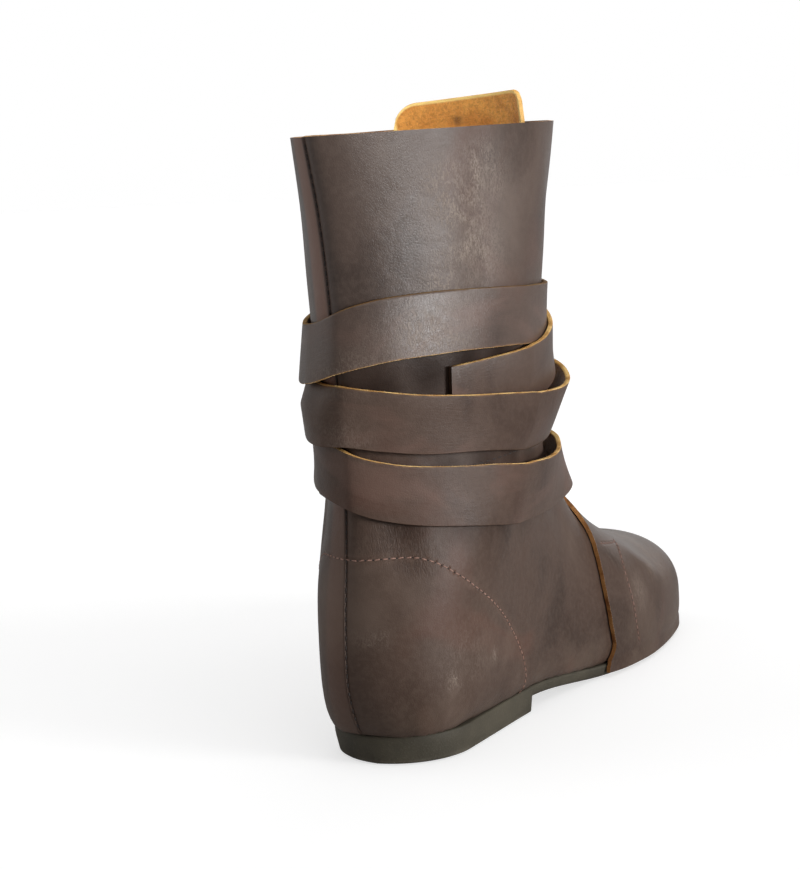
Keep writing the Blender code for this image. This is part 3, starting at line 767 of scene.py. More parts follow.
def over_the_sole(grid):
    """Pushes the foot of the vamp out past the sole's side; says how far down each point may hang."""
    grid = grid.copy()
    out, along, up = grid[..., 0], grid[..., 1], grid[..., 2]
    fade = np.clip((VAMP_OVER_END[1] - along) / (VAMP_OVER_END[1] - VAMP_OVER_END[0]), 0, 1)
    fade = fade * fade * (3 - 2 * fade)
    half = np.where(out > 0, sole_half_width(along, False), sole_half_width(along, True))
    needed = half + HIDE + 2 * AIR - VAMP_SLANT * np.maximum(up - sole_top(along), 0)
    pushed = np.sign(out) * np.maximum(abs(out), needed)
    hangs = (up < sole_top(along) + VAMP_FOOT) & (abs(out) > VAMP_SIDE * half)
    grid[..., 0] = np.where(hangs, out + fade * (pushed - out), out)
    return grid, VAMP_OVER * fade


def vamp_sheet():
    """Outer face of the vamp: the upper's face lifted, each line from toe to heel ended on its edge."""
    edge = smooth_table(VAMP_EDGE, 6) * np.array([FOOT_LENGTH, INSTEP_HEIGHT])
    edge = edge[np.argsort(edge[:, 1])]
    a = edge[:, 1] * 1000
    edge[:, 0] += VAMP_WAVE * (np.sin(0.9 * a) + 0.7 * np.sin(1.9 * a + 1.0) + 0.5 * np.sin(0.37 * a + 2.0))
    last = (len(FOREPART) + 4) * FINE
    grid = (upper_grid + grid_normals(upper_grid) * (2 * AIR + HIDE))[:last]
    grid = grid[:, np.r_[0, 2, 4, 13, 15, 17:grid.shape[1]]]     # the back seam's close columns left out
    tip = grid[0].mean(axis=0)
    tip[1] = grid[0][:, 1].mean() + TOE_DOME
    dome = [tip + (grid[0] - tip) * np.array([s, s * s, s]) for s in np.linspace(*TOE_RINGS)]
    grid = np.vstack([np.array(dome), grid])
    out = []
    for column in np.swapaxes(grid, 0, 1):
        beyond = column[:, 1] - np.interp(column[:, 2], edge[:, 1], edge[:, 0])
        behind = np.nonzero(beyond < 0)[0]
        end = behind[0] if len(behind) else len(column) - 1
        if len(behind) and end > 0:
            share = beyond[end - 1] / (beyond[end - 1] - beyond[end])
            line = np.vstack([column[:end], column[end - 1] + share * (column[end] - column[end - 1])])
        else:
            line = column[:end + 1]
        arc = np.concatenate([[0], np.cumsum(np.linalg.norm(np.diff(line, axis=0), axis=1))])
        spots = np.linspace(0, arc[-1], VAMP_RINGS)
        out.append(np.stack([np.interp(spots, arc, line[:, k]) for k in range(3)], axis=-1))
    return np.swapaxes(np.array(out), 0, 1)


vamp_grid, hang = over_the_sole(vamp_sheet())
rings, points = vamp_grid.shape[:2]
sheet = vamp_grid.reshape(-1, 3)
vamp_tree = BVHTree.FromPolygons([tuple(p) for p in to_world(sheet)], closed_toe(rings, points))
vamp_lines = [cast_line(vamp_tree, [(side * 90, *place) for place in line])
              for line in VAMP_LINES for side in (1, -1)]
line_gap = np.min([gap_to_line(to_world(sheet), line[0]) for line in vamp_lines], axis=0)
verts, faces, values = drop_under_sole(sheet, closed_toe(rings, points), {
    "seam": np.full(len(sheet), 1.0),
    "counter": line_gap,
    "wear_and_highlight": patches(sheet, VAMP_HIGHLIGHTS),
    "creased": np.zeros(len(sheet)),
    "darkened": np.zeros(len(sheet)),
}, hang.ravel())
vamp = add_piece("vamp_leather", to_world(verts), faces, (VAMP_LEATHER, FLESH, VAMP_CUT), values)
wall_inwards(vamp, HIDE, 1, 2)
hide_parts("vamp")
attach(vamp, "root")


# ---------------------------------------------------------------- tongue
# Front flap cut from the same hide, flesh side to the back, sewn in behind the shaft's front and
# standing a finger's width over the collar. Its edges are cut raw and its corners rounded.

TONGUE_THICKNESS = 0.0020
TONGUE_HALF_WIDTH = 0.033
TONGUE_RISE = 0.0150
TONGUE_LEAN = 0.0110
TONGUE_CORNERS = (0.0050, 0.0110)       # outer and inner top corner
TONGUE_SLOPE = 0.0036                   # how much lower the inner corner stands
TONGUE_ROOT = 1.45 * INSTEP_HEIGHT
THUMB_MARK = (-0.002, 0.004)            # out, and up from the collar
THUMB_FLAT = 1.3                        # how much wider than high it is
TONGUE_LEATHER = BOOT_LEATHER.copy()
TONGUE_LEATHER.name = "tongue_leather"


def tongue_flesh():
    """Flesh side of the tongue: orange-brown nap, a dark thumb mark and a painted highlight along the cut."""
    material = suede("tongue_flesh", (0.640, 0.240, 0.042), (0.920, 0.440, 0.095))
    tree = material.node_tree
    shader = tree.nodes["Principled BSDF"]
    colour = shader.inputs["Base Color"].links[0].from_socket
    where = place(tree)
    mark = ramp(tree, attribute(tree, "spot"), 0.0010, 0.0048, 0.62, 0.0)
    uneven = ramp(tree, noise(tree, where, 300, 4, 0.7), 0.32, 0.55, 0.45, 1.0)
    mark = math_node(tree, "MULTIPLY", mark, uneven)
    colour = mix_colour(tree, mark, colour, (0.060, 0.026, 0.012))
    # Painted highlight: the flesh face turns yellow-white close to its cut edges
    rim = ramp(tree, attribute(tree, "rim"), 0.0004, 0.0016, 0.95, 0.0)
    colour = mix_colour(tree, rim, colour, (1.000, 0.740, 0.260))
    tree.links.new(colour, shader.inputs["Base Color"])
    return material


TONGUE_FLESH = tongue_flesh()
# The tongue's cut edges: the raw core, made brighter than the others as painted highlight
BRIGHT_EDGE = raw_edge("bright_edge", (0.620, 0.330, 0.080), (0.900, 0.560, 0.200))


def shaft_columns(turns):
    """Points and outward normals of the plain shaft: rows by turns."""
    rows = smooth_table(upper_rows(), FINE)[len(FOREPART) * FINE:]
    grids = [np.array([section_points(row, turns + shift) for row in rows]) for shift in (-0.02, 0.0, 0.02)]
    normal = np.cross(grids[2] - grids[0], np.gradient(grids[1], axis=0))
    return grids[1], normal / np.maximum(np.linalg.norm(normal, axis=-1, keepdims=True), 1e-12)


def at_height(points, normals, height):
    """The point of a rising line at this height, and its normal."""
    spot = np.array([np.interp(height, points[:, 2], points[:, k]) for k in range(3)])
    normal = np.array([np.interp(height, points[:, 2], normals[:, k]) for k in range(3)])
    return spot, normal / np.linalg.norm(normal)


def tongue_face(columns=61, levels=70):
    """Front face of the tongue, against the shaft, as levels of points from its root up."""
    collar = COLLAR_HEIGHT + COLLAR_RISE
    points, normals = shaft_columns(math.pi + np.linspace(1.3, -1.3, 41))
    depth = HIDE + 2 * AIR
    heights = np.linspace(TONGUE_ROOT, collar, 40)
    walls = np.array([[spot - depth * normal for spot, normal in
                       (at_height(points[:, k], normals[:, k], height) for k in range(points.shape[1]))]
                      for height in heights])
    outs = np.linspace(-1, 1, columns) * TONGUE_HALF_WIDTH
    along = np.array([np.interp(outs, row[:, 0], row[:, 1]) for row in walls])
    corner = np.where(outs > 0, TONGUE_CORNERS[0], TONGUE_CORNERS[1])
    over = np.maximum(abs(outs) - (TONGUE_HALF_WIDTH - corner), 0)
    slope = TONGUE_SLOPE * (0.5 - outs / TONGUE_HALF_WIDTH / 2)
    edge = collar + TONGUE_RISE - slope - corner + np.sqrt(np.maximum(corner ** 2 - over ** 2, 0))
    grid = np.zeros((levels, columns, 3))
    for i in range(levels):
        z = TONGUE_ROOT + (edge - TONGUE_ROOT) * i / (levels - 1)
        lean = TONGUE_LEAN * (np.maximum(z - TONGUE_ROOT, 0) / (collar - TONGUE_ROOT)) ** 2
        for j in range(columns):
            front = np.interp(min(z[j], collar), heights, along[:, j])
            grid[i, j] = (outs[j], front - lean[j], z[j])
    return grid


tongue_grid = tongue_face()
levels, columns = tongue_grid.shape[:2]
outs, ups = tongue_grid[..., 0], tongue_grid[..., 2]
none = np.zeros((levels, columns))
rim_gap = np.minimum(abs(outs - outs[0, 0]), abs(outs - outs[0, -1]))
rim_gap = np.minimum(rim_gap, ups[-1] - ups)
spot_gap = np.hypot(outs - THUMB_MARK[0], (ups - COLLAR_HEIGHT - THUMB_MARK[1]) * THUMB_FLAT)
tongue = add_piece("tongue_leather", to_world(tongue_grid.reshape(-1, 3)),
                   [face[::-1] for face in quad_grid(levels, columns, False)],
                   (TONGUE_LEATHER, TONGUE_FLESH, BRIGHT_EDGE),
                   {"wear_and_highlight": none, "seam": none + 1, "counter": none + 1, "creased": none,
                    "darkened": none, "rim": rim_gap, "spot": spot_gap})
wall_inwards(tongue, TONGUE_THICKNESS, 1, 2)
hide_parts("tongue")
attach(tongue, "root")


# ---------------------------------------------------------------- strap
# One long strap of the same hide, 25 mm wide, wound three times round the shaft. Each turn lies on
# what is below it and its cut edges show the bright core.

STRAP_WIDTH = 0.0250
STRAP_THICKNESS = 0.0022
STRAP_STEP = 7.5            # degrees of a turn between two points at which its height and air are worked out
FINE_STEP = 2.0             # degrees between two sections of its mesh
STRAP_SHARES = (-0.5, 0.0, 0.5)
STRAP_WAVE = 0.00016        # size of the waves of its cut edges
LAP_SOFT = 0.0015           # over this length the strap climbs the seam's step
LAP_BACK = 0.06             # the step lies behind this place along
STRAP_GLOSS = (0.150, 0.182, 0.12, 0.50)    # from this height to that one, from this gloss to that one
BRIGHT_CORE = 0.55          # loose fibres stand where the core shows more than this
STRAP_ROUTE = (
    # turn  height  low  high
    (318, 0.478, 0.0, 0.0),
    (296, 0.456, 0.0, 0.0),
    (270, 0.430, 0.0, 0.0),
    (240, 0.414, 0.2, 0.0),
    (210, 0.408, 1.3, 0.5),
    (180, 0.408, 1.6, 1.2),
    (150, 0.402, 1.6, 2.0),
    (120, 0.401, 1.0, 1.8),
    (90, 0.407, 0.2, 0.8),
    (70, 0.415, 0.0, 0.3),
    (50, 0.424, 0.0, 0.2),
    (32, 0.435, 0.0, 0.2),
    (18, 0.447, 0.0, 0.2),
    (0, 0.464, 0.0, 0.1),
    (-30, 0.484, 0.0, 0.0),
    (-60, 0.498, 0.0, 0.0),
    (-90, 0.511, 0.0, 0.0),
    (-135, 0.532, 0.0, 0.0),
    (-180, 0.550, 0.2, 0.8),
    (-210, 0.538, 0.4, 3.0),
    (-232, 0.528, 0.4, 3.8),
    (-260, 0.521, 0.3, 2.0),
    (-280, 0.525, 0.2, 1.0),
    (-300, 0.534, 0.2, 0.4),
    (-322, 0.545, 0.2, 0.3),
    (-340, 0.557, 0.2, 0.2),
    (-360, 0.568, 0.3, 0.0),
    (-390, 0.572, 0.2, 0.0),
    (-420, 0.588, 0.0, 0.0),
    (-450, 0.616, 0.0, 0.0),
    (-495, 0.660, 0.0, 0.0),
    (-540, 0.690, 0.0, 0.0),
    (-570, 0.694, 0.0, 0.0),
    (-600, 0.692, 0.0, 0.0),
    (-630, 0.693, 0.0, 0.0),
    (-650, 0.698, 0.0, 0.0),
    (-670, 0.703, 0.6, 0.0),
    (-690, 0.702, 1.4, 0.0),
    (-705, 0.695, 1.9, 0.0),
    (-720, 0.684, 2.0, 0.0),
    (-740, 0.667, 1.6, 0.2),
    (-765, 0.660, 0.5, 0.2),
    (-810, 0.672, 0.0, 0.0),
    (-855, 0.680, 0.0, 0.0),
    (-900, 0.672, 0.6, 0.0),
    (-930, 0.652, 1.6, 0.0),
    (-950, 0.632, 1.2, 0.0),
    (-970, 0.614, 0.5, 0.0),
    (-990, 0.598, 0.1, 0.0),
    (-1034, 0.583, 0.0, 0.0),
)
STRAP_TUCKED = (3, 1)       # this round runs under that one, not over it

# Section of the strap: place across as a share of its width, height as a share of its thickness, and
# whether the face that starts there is the grain (0), the flesh (1) or a cut edge (2)
STRAP_SECTION = (
    (-0.500, 0.14, 2),
    (-0.500, 0.50, 2),
    (-0.499, 0.88, 2),
    (-0.492, 0.97, 0),
    (-0.460, 1.00, 0),
    (-0.250, 1.01, 0),
    (0.000, 1.02, 0),
    (0.250, 1.01, 0),
    (0.460, 1.00, 0),
    (0.492, 0.97, 2),
    (0.499, 0.88, 2),
    (0.500, 0.50, 2),
    (0.500, 0.14, 2),
    (0.485, 0.00, 1),
    (0.250, 0.00, 1),
    (0.000, 0.00, 1),
    (-0.250, 0.00, 1),
    (-0.485, 0.00, 2),
)


def strap_lifts(heights, air, round_points):
    """Strap thicknesses under the lower edge, middle and upper edge; later rounds lie on earlier ones."""
    reach = STRAP_WIDTH / COLLAR_HEIGHT
    count = len(heights)
    rounds = np.arange(count) // round_points
    lifts = air.copy()
    for _ in range(int(rounds[-1]) + 3):
        needed = air.copy()
        for i in range(count):
            for other in range(i % round_points, count, round_points):
                tucked = (rounds[other], rounds[i]) == STRAP_TUCKED
                held = (rounds[i], rounds[other]) == STRAP_TUCKED
                if held or other == i or (other > i and not tucked):
                    continue
                for k, share in enumerate(STRAP_SHARES):
                    across = (heights[i] + share * reach - heights[other]) / reach
                    if -1 - min(0.5 - share, 0.5) < across - 0.5 < min(share + 0.5, 0.5):
                        under = np.interp(across, STRAP_SHARES, lifts[other])
                        needed[i, k] = max(needed[i, k], under + 1)
        padded = np.pad(needed, ((3, 3), (0, 0)), mode="edge")
        widest = np.array([padded[i + 1:i + 6].max(axis=0) for i in range(count)])
        padded = np.pad(widest, ((1, 1), (0, 0)), mode="edge")
        lifts = (padded[:-2] + padded[1:-1] + padded[2:]) / 3
    return lifts


def strap_course():
    """Turn, height and lifts of the strap at each section of its mesh."""
    route = np.array(STRAP_ROUTE)
    count = int(abs(route[-1, 0] - route[0, 0]) / STRAP_STEP) + 1
    coarse = route[0, 0] - np.arange(count) * STRAP_STEP
    table = smooth_table(route, 12)
    table = table[np.argsort(table[:, 0])]
    heights, low_air, high_air = [np.interp(coarse, table[:, 0], table[:, k]) for k in (1, 2, 3)]
    air = np.stack([low_air, (low_air + high_air) / 2, high_air], axis=1)
    lifts = strap_lifts(heights, air, int(360 / STRAP_STEP))
    turns = np.append(np.arange(coarse[0], coarse[-1], -FINE_STEP), coarse[-1])
    heights = np.interp(turns, table[:, 0], table[:, 1])
    fine = np.stack([np.interp(-turns, -coarse, lifts[:, k]) for k in range(3)], axis=1)
    padded = np.pad(fine, ((2, 2), (0, 0)), mode="edge")
    smooth = padded[:-4] + 2 * padded[1:-3] + 3 * padded[2:-2] + 2 * padded[3:-1] + padded[4:]
    return turns, heights, smooth / 9


def edge_wander(turns, phase):
    """Small waves of a hand-cut edge, in metres."""
    a = np.radians(turns)
    waves = np.sin(2.3 * a + phase) + 0.6 * np.sin(6.1 * a + 2.1 * phase) + 0.25 * np.sin(15.0 * a + phase)
    return STRAP_WAVE * waves


def strap_mesh():
    """The strap's sections from its hidden start to its free end, with faces and their materials."""
    turns, heights, lifts = strap_course()
    points, normals = shaft_columns(np.radians(turns))
    low_wave, high_wave = edge_wander(turns, 0.7), edge_wander(turns, 2.9)
    edges = np.array(STRAP_EDGES)[::-1]
    tones = [np.interp(turns, edges[:, 0], edges[:, k]) for k in (1, 2)]
    verts, run, across, core = [], [], [], []
    travelled, last_mid = 0.0, None
    for i, height in enumerate(heights):
        column, normal = points[:, i], normals[:, i]
        middle = np.array([np.interp(height * COLLAR_HEIGHT, column[:, 2], column[:, k]) for k in range(3)])
        travelled += 0 if last_mid is None else float(np.linalg.norm(middle - last_mid))
        last_mid = middle
        for share, level, _ in STRAP_SECTION:
            wave = low_wave[i] * max(-share, 0) * 2 + high_wave[i] * max(share, 0) * 2
            spot, out = at_height(column, normal, height * COLLAR_HEIGHT + share * STRAP_WIDTH + wave)
            lift = np.interp(share, STRAP_SHARES, lifts[i])
            beside = spot[0] + SEAM_SIDE
            rise = LAP_STEP * math.exp(-max(-beside / LAP_FADE, 0) ** 2) / (1 + math.exp(beside / LAP_SOFT))
            rise *= 1.0 if spot[1] < LAP_BACK else 0.0
            seat = 2 * AIR + lift * (STRAP_THICKNESS + 2 * AIR) + rise
            verts.append(spot + out * (seat + level * STRAP_THICKNESS))
            run.append(travelled)
            across.append(share)
            core.append(tones[share > 0][i])
    n = len(STRAP_SECTION)
    faces = quad_grid(len(turns), n)
    kinds = [STRAP_SECTION[j][2] for _ in range(len(turns) - 1) for j in range(n)]
    last = (len(turns) - 1) * n
    faces += [tuple(range(n))[::-1], tuple(range(last, last + n))]
    kinds += [2, 2]
    return np.array(verts), [tuple(reversed(f)) for f in faces], kinds, run, across, core


def strap_leather():
    """The hide in the strap's own tones, cloudy along its run, worn lighter along its edges, with painted
    highlights.
    """
    material = new_material("strap_leather")
    tree = material.node_tree
    where = place(tree)
    hide = place_group(tree, HIDE_GROUP)
    for label, colour in STRAP_TONES:
        hide.inputs[label].default_value = (*colour, 1)
    tree.links.new(where, hide.inputs["Position"])
    across = math_node(tree, "ABSOLUTE", attribute(tree, "across"))
    run = attribute(tree, "run")
    tree.links.new(attribute(tree, "wear_and_highlight"), hide.inputs["WearAndHighlight"])
    axes = tree.nodes.new("ShaderNodeCombineXYZ")
    tree.links.new(run, axes.inputs["X"])
    tree.links.new(math_node(tree, "MULTIPLY", attribute(tree, "across"), STRAP_WIDTH), axes.inputs["Y"])
    cloud = noise(tree, stretched(tree, axes.outputs["Vector"], (0.35, 1, 1)), 45, 4, 0.55, 0.8)
    cloudy = ramp(tree, cloud, 0.52, 0.70, 0.0, 0.55)
    colour = mix_colour(tree, cloudy, hide.outputs["Colour"], (0.140, 0.084, 0.066))
    worn = ramp(tree, across, 0.455, 0.492, 0.0, 0.6)
    worn = math_node(tree, "MULTIPLY", worn, ramp(tree, noise(tree, where, 160, 4, 0.7), 0.40, 0.62))
    worn = math_node(tree, "MULTIPLY", worn, attribute(tree, "core"))
    colour = mix_colour(tree, worn, colour, (0.250, 0.140, 0.070))
    fine = noise(tree, stretched(tree, axes.outputs["Vector"], (0.2, 1, 1)), 900, 3, 0.6, 0.6)
    relief = math_node(tree, "ADD", hide.outputs["Relief"], math_node(tree, "MULTIPLY", fine, 0.00008))
    gloss = ramp(tree, height_of(tree, where), *STRAP_GLOSS)
    finish_surface(material, colour, hide.outputs["Roughness"], relief, 1.0, gloss)
    return material


STRAP_TONES = (
    ("Dark", (0.050, 0.031, 0.024)),
    ("Middle", (0.080, 0.052, 0.040)),
    ("Light", (0.124, 0.084, 0.066)),
    ("Warm", (0.116, 0.058, 0.043)),
)
STRAP_EDGES = (
    # turn, how bright the raw core shows along the lower and the upper edge
    (318, 0.2, 0.8),
    (120, 0.10, 1.0),
    (0, 0.10, 1.0),
    (-135, 0.3, 0.6),
    (-215, 0.10, 1.0),
    (-340, 0.10, 1.0),
    (-450, 0.4, 0.5),
    (-570, 0.9, 0.30),
    (-690, 0.9, 0.30),
    (-765, 0.6, 0.5),
    (-900, 0.5, 0.75),
    (-1029, 0.5, 0.75),
    # its free end: the cut face dark as painted shade
    (-1032, 0.0, 0.05),
)


def strap_cut():
    """Cut edges of the strap: bright core where worn or trimmed, oil-dark elsewhere, and painted shade on its
    free end's cut face.
    """
    material = raw_edge("strap_cut", (0.560, 0.280, 0.070), (1.000, 0.660, 0.240))
    tree = material.node_tree
    shader = tree.nodes["Principled BSDF"]
    bright = shader.inputs["Base Color"].links[0].from_socket
    darkened = mix_colour(tree, ramp(tree, attribute(tree, "core"), 0.05, 0.95), (0.050, 0.026, 0.016), bright)
    tree.links.new(darkened, shader.inputs["Base Color"])
    return material


verts, faces, kinds, run, across, core = strap_mesh()
strap_points = to_world(verts)
strap = add_piece("strap_leather", strap_points, faces, (strap_leather(), FLESH, strap_cut()),
                  {"run": run, "across": across, "core": core, "wear_and_highlight": patches(verts, STRAP_HIGHLIGHTS)})
strap.data.polygons.foreach_set("material_index", kinds)
strap.data.set_sharp_from_angle(angle=math.radians(40))
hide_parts("strap")
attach(strap, "root")


# ---------------------------------------------------------------- sole
# Unit sole of dark olive-brown rubber, moulded in one with its low heel block and cemented on. Its
# side is drawn in towards the floor and both edges are rounded.

SOLE_DRAW_IN = 0.0026
SOLE_EDGE = 0.0012


def sole_bottom(along):
    """Height of the sole's under face: flat heel block, arch, flat forepart and toe spring."""
    return np.where(along <= HEEL_LENGTH, 0, np.maximum(sole_top(along) - SOLE_THICKNESS, 0))


def outline_plate(levels, fineness):
    """A plate with the sole's outline; levels are (inset, height function) from its under face up."""
    half = fineness // 2
    sweep = (1 - np.cos(np.linspace(0, math.pi, half + 1))) / 2 * FOOT_LENGTH
    breast = [HEEL_LENGTH, HEEL_LENGTH + 2 * AIR]
    along = np.sort(np.concatenate([sweep[abs(sweep - HEEL_LENGTH) > FOOT_LENGTH / fineness], breast]))
    n = len(along)
    outer, inner = sole_half_width(along, False), sole_half_width(along, True)
    verts = []
    for inset, height in levels:
        v = inset + along * (1 - 2 * inset / FOOT_LENGTH)
        left, right = np.maximum(outer - inset, 0) * (outer > 0), np.maximum(inner - inset, 0) * (inner > 0)
        z = height(along)
        verts += [(left[i], v[i], z[i]) for i in range(n)]
        verts += [(-right[i], v[i], z[i]) for i in range(n - 2, 0, -1)]
    count = 2 * n - 2
    faces = quad_grid(len(levels), count)
    for base, flip in ((0, True), ((len(levels) - 1) * count, False)):
        for i in range(n - 1):
            quad = (base + i, base + i + 1, base + (count - i - 1) % count, base + (count - i) % count)
            quad = tuple(p for k, p in enumerate(quad) if p not in quad[:k])
            faces.append(quad[::-1] if flip else quad)
    return to_world(verts), faces


def plate_piece(name, levels, fineness, material):
    """Such a plate as a piece, its faces turned out."""
    verts, faces = outline_plate(levels, fineness)
    obj = add_piece(name, verts, faces, (material,))
    bm = bmesh.new()
    bm.from_mesh(obj.data)
    bmesh.ops.recalc_face_normals(bm, faces=bm.faces)
    bm.to_mesh(obj.data)
    bm.free()
    obj.data.set_sharp_from_angle(angle=math.radians(38))
    return obj


def rubber():
    """Dark rubber, matt, with a fine moulded grain, scuffed pale at the lower edge."""
    material = new_material("sole_rubber")
    tree = material.node_tree
    where = place(tree)
    cloud = noise(tree, where, 35, 4, 0.6)
    colour = mix_colour(tree, ramp(tree, cloud, 0.35, 0.66), (0.042, 0.036, 0.024), (0.068, 0.058, 0.040))
    grit = noise(tree, where, 1300, 3, 0.6)
    colour = mix_colour(tree, ramp(tree, grit, 0.52, 0.68, 0.0, 0.25), colour, (0.110, 0.096, 0.070))
    low = ramp(tree, height_of(tree, where), 0.0, 0.0035, 0.45, 0.0)
    low = math_node(tree, "MULTIPLY", low, ramp(tree, noise(tree, where, 120, 4, 0.7), 0.38, 0.60))
    colour = mix_colour(tree, low, colour, (0.150, 0.132, 0.104))
    streak = noise(tree, stretched(tree, where, (1, 1, 0.1)), 300, 3)
    relief = math_node(tree, "ADD", math_node(tree, "MULTIPLY", grit, 0.00014),
                       math_node(tree, "MULTIPLY", streak, 0.0001))
    finish_surface(material, colour, ramp(tree, cloud, 0.3, 0.7, 0.62, 0.78), relief, 1.0, 0.35)
    return material


def between(share):
    """Height this share of the way from the sole's under face to its upper face."""
    return lambda v: sole_bottom(v) + share * (sole_top(v) - sole_bottom(v))


sole = plate_piece("sole_rubber", (
    (SOLE_DRAW_IN + 0.0005, sole_bottom),
    (SOLE_DRAW_IN, lambda v: sole_bottom(v) + 0.0002),
    (0.0018, lambda v: sole_bottom(v) + 0.0006),
    (0.0012, lambda v: sole_bottom(v) + SOLE_EDGE),
    (0.0007, between(0.35)),
    (0.0004, between(0.5)),
    (0.0001, between(0.7)),
    (0.0, lambda v: sole_top(v) - SOLE_EDGE),
    (0.0001, lambda v: sole_top(v) - 0.0005),
    (0.0003, lambda v: sole_top(v) - 0.0002),
    (0.0008, sole_top),
), 300, rubber())
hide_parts("sole")
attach(sole, "root")


# ---------------------------------------------------------------- insole
# Thin leather board on the sole inside the upper, its edge rounded over. Seen only down the shaft.

INSOLE_THICKNESS = 0.0025
INSOLE_INSET = 0.0115


def board_leather():
    """Natural vegetable-tanned board, smooth, with a cloudy tone and a fine grain."""
    material = new_material("insole_leather")
    tree = material.node_tree
    where = place(tree)
    cloud = noise(tree, where, 30, 4, 0.6)
    colour = mix_colour(tree, ramp(tree, cloud, 0.35, 0.66), (0.260, 0.150, 0.075), (0.380, 0.240, 0.130))
    grain = noise(tree, where, 1100, 3, 0.6)
    finish_surface(material, colour, 0.7, math_node(tree, "MULTIPLY", grain, 0.0001), 1.0, 0.3)
    return material


insole = plate_piece("insole_board", (
    (INSOLE_INSET + 0.0004, lambda v: sole_top(v) + AIR),
    (INSOLE_INSET, lambda v: sole_top(v) + AIR + 0.0004),
    (INSOLE_INSET, lambda v: sole_top(v) + AIR + INSOLE_THICKNESS - 0.0006),
    (INSOLE_INSET + 0.0006, lambda v: sole_top(v) + AIR + INSOLE_THICKNESS),
), 160, board_leather())
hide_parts("insole")
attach(insole, "root")


# ---------------------------------------------------------------- stitches
# Lockstitches of waxed thread: dark down the back seam, pinkish tan round the counter and the vamp.
# Each sits between two needle holes, their shade painted as near-black beads sunk in the hide. The
# same nodes lay short loose fibres along the raw edges of the strap and the vamp, turned far off their line.

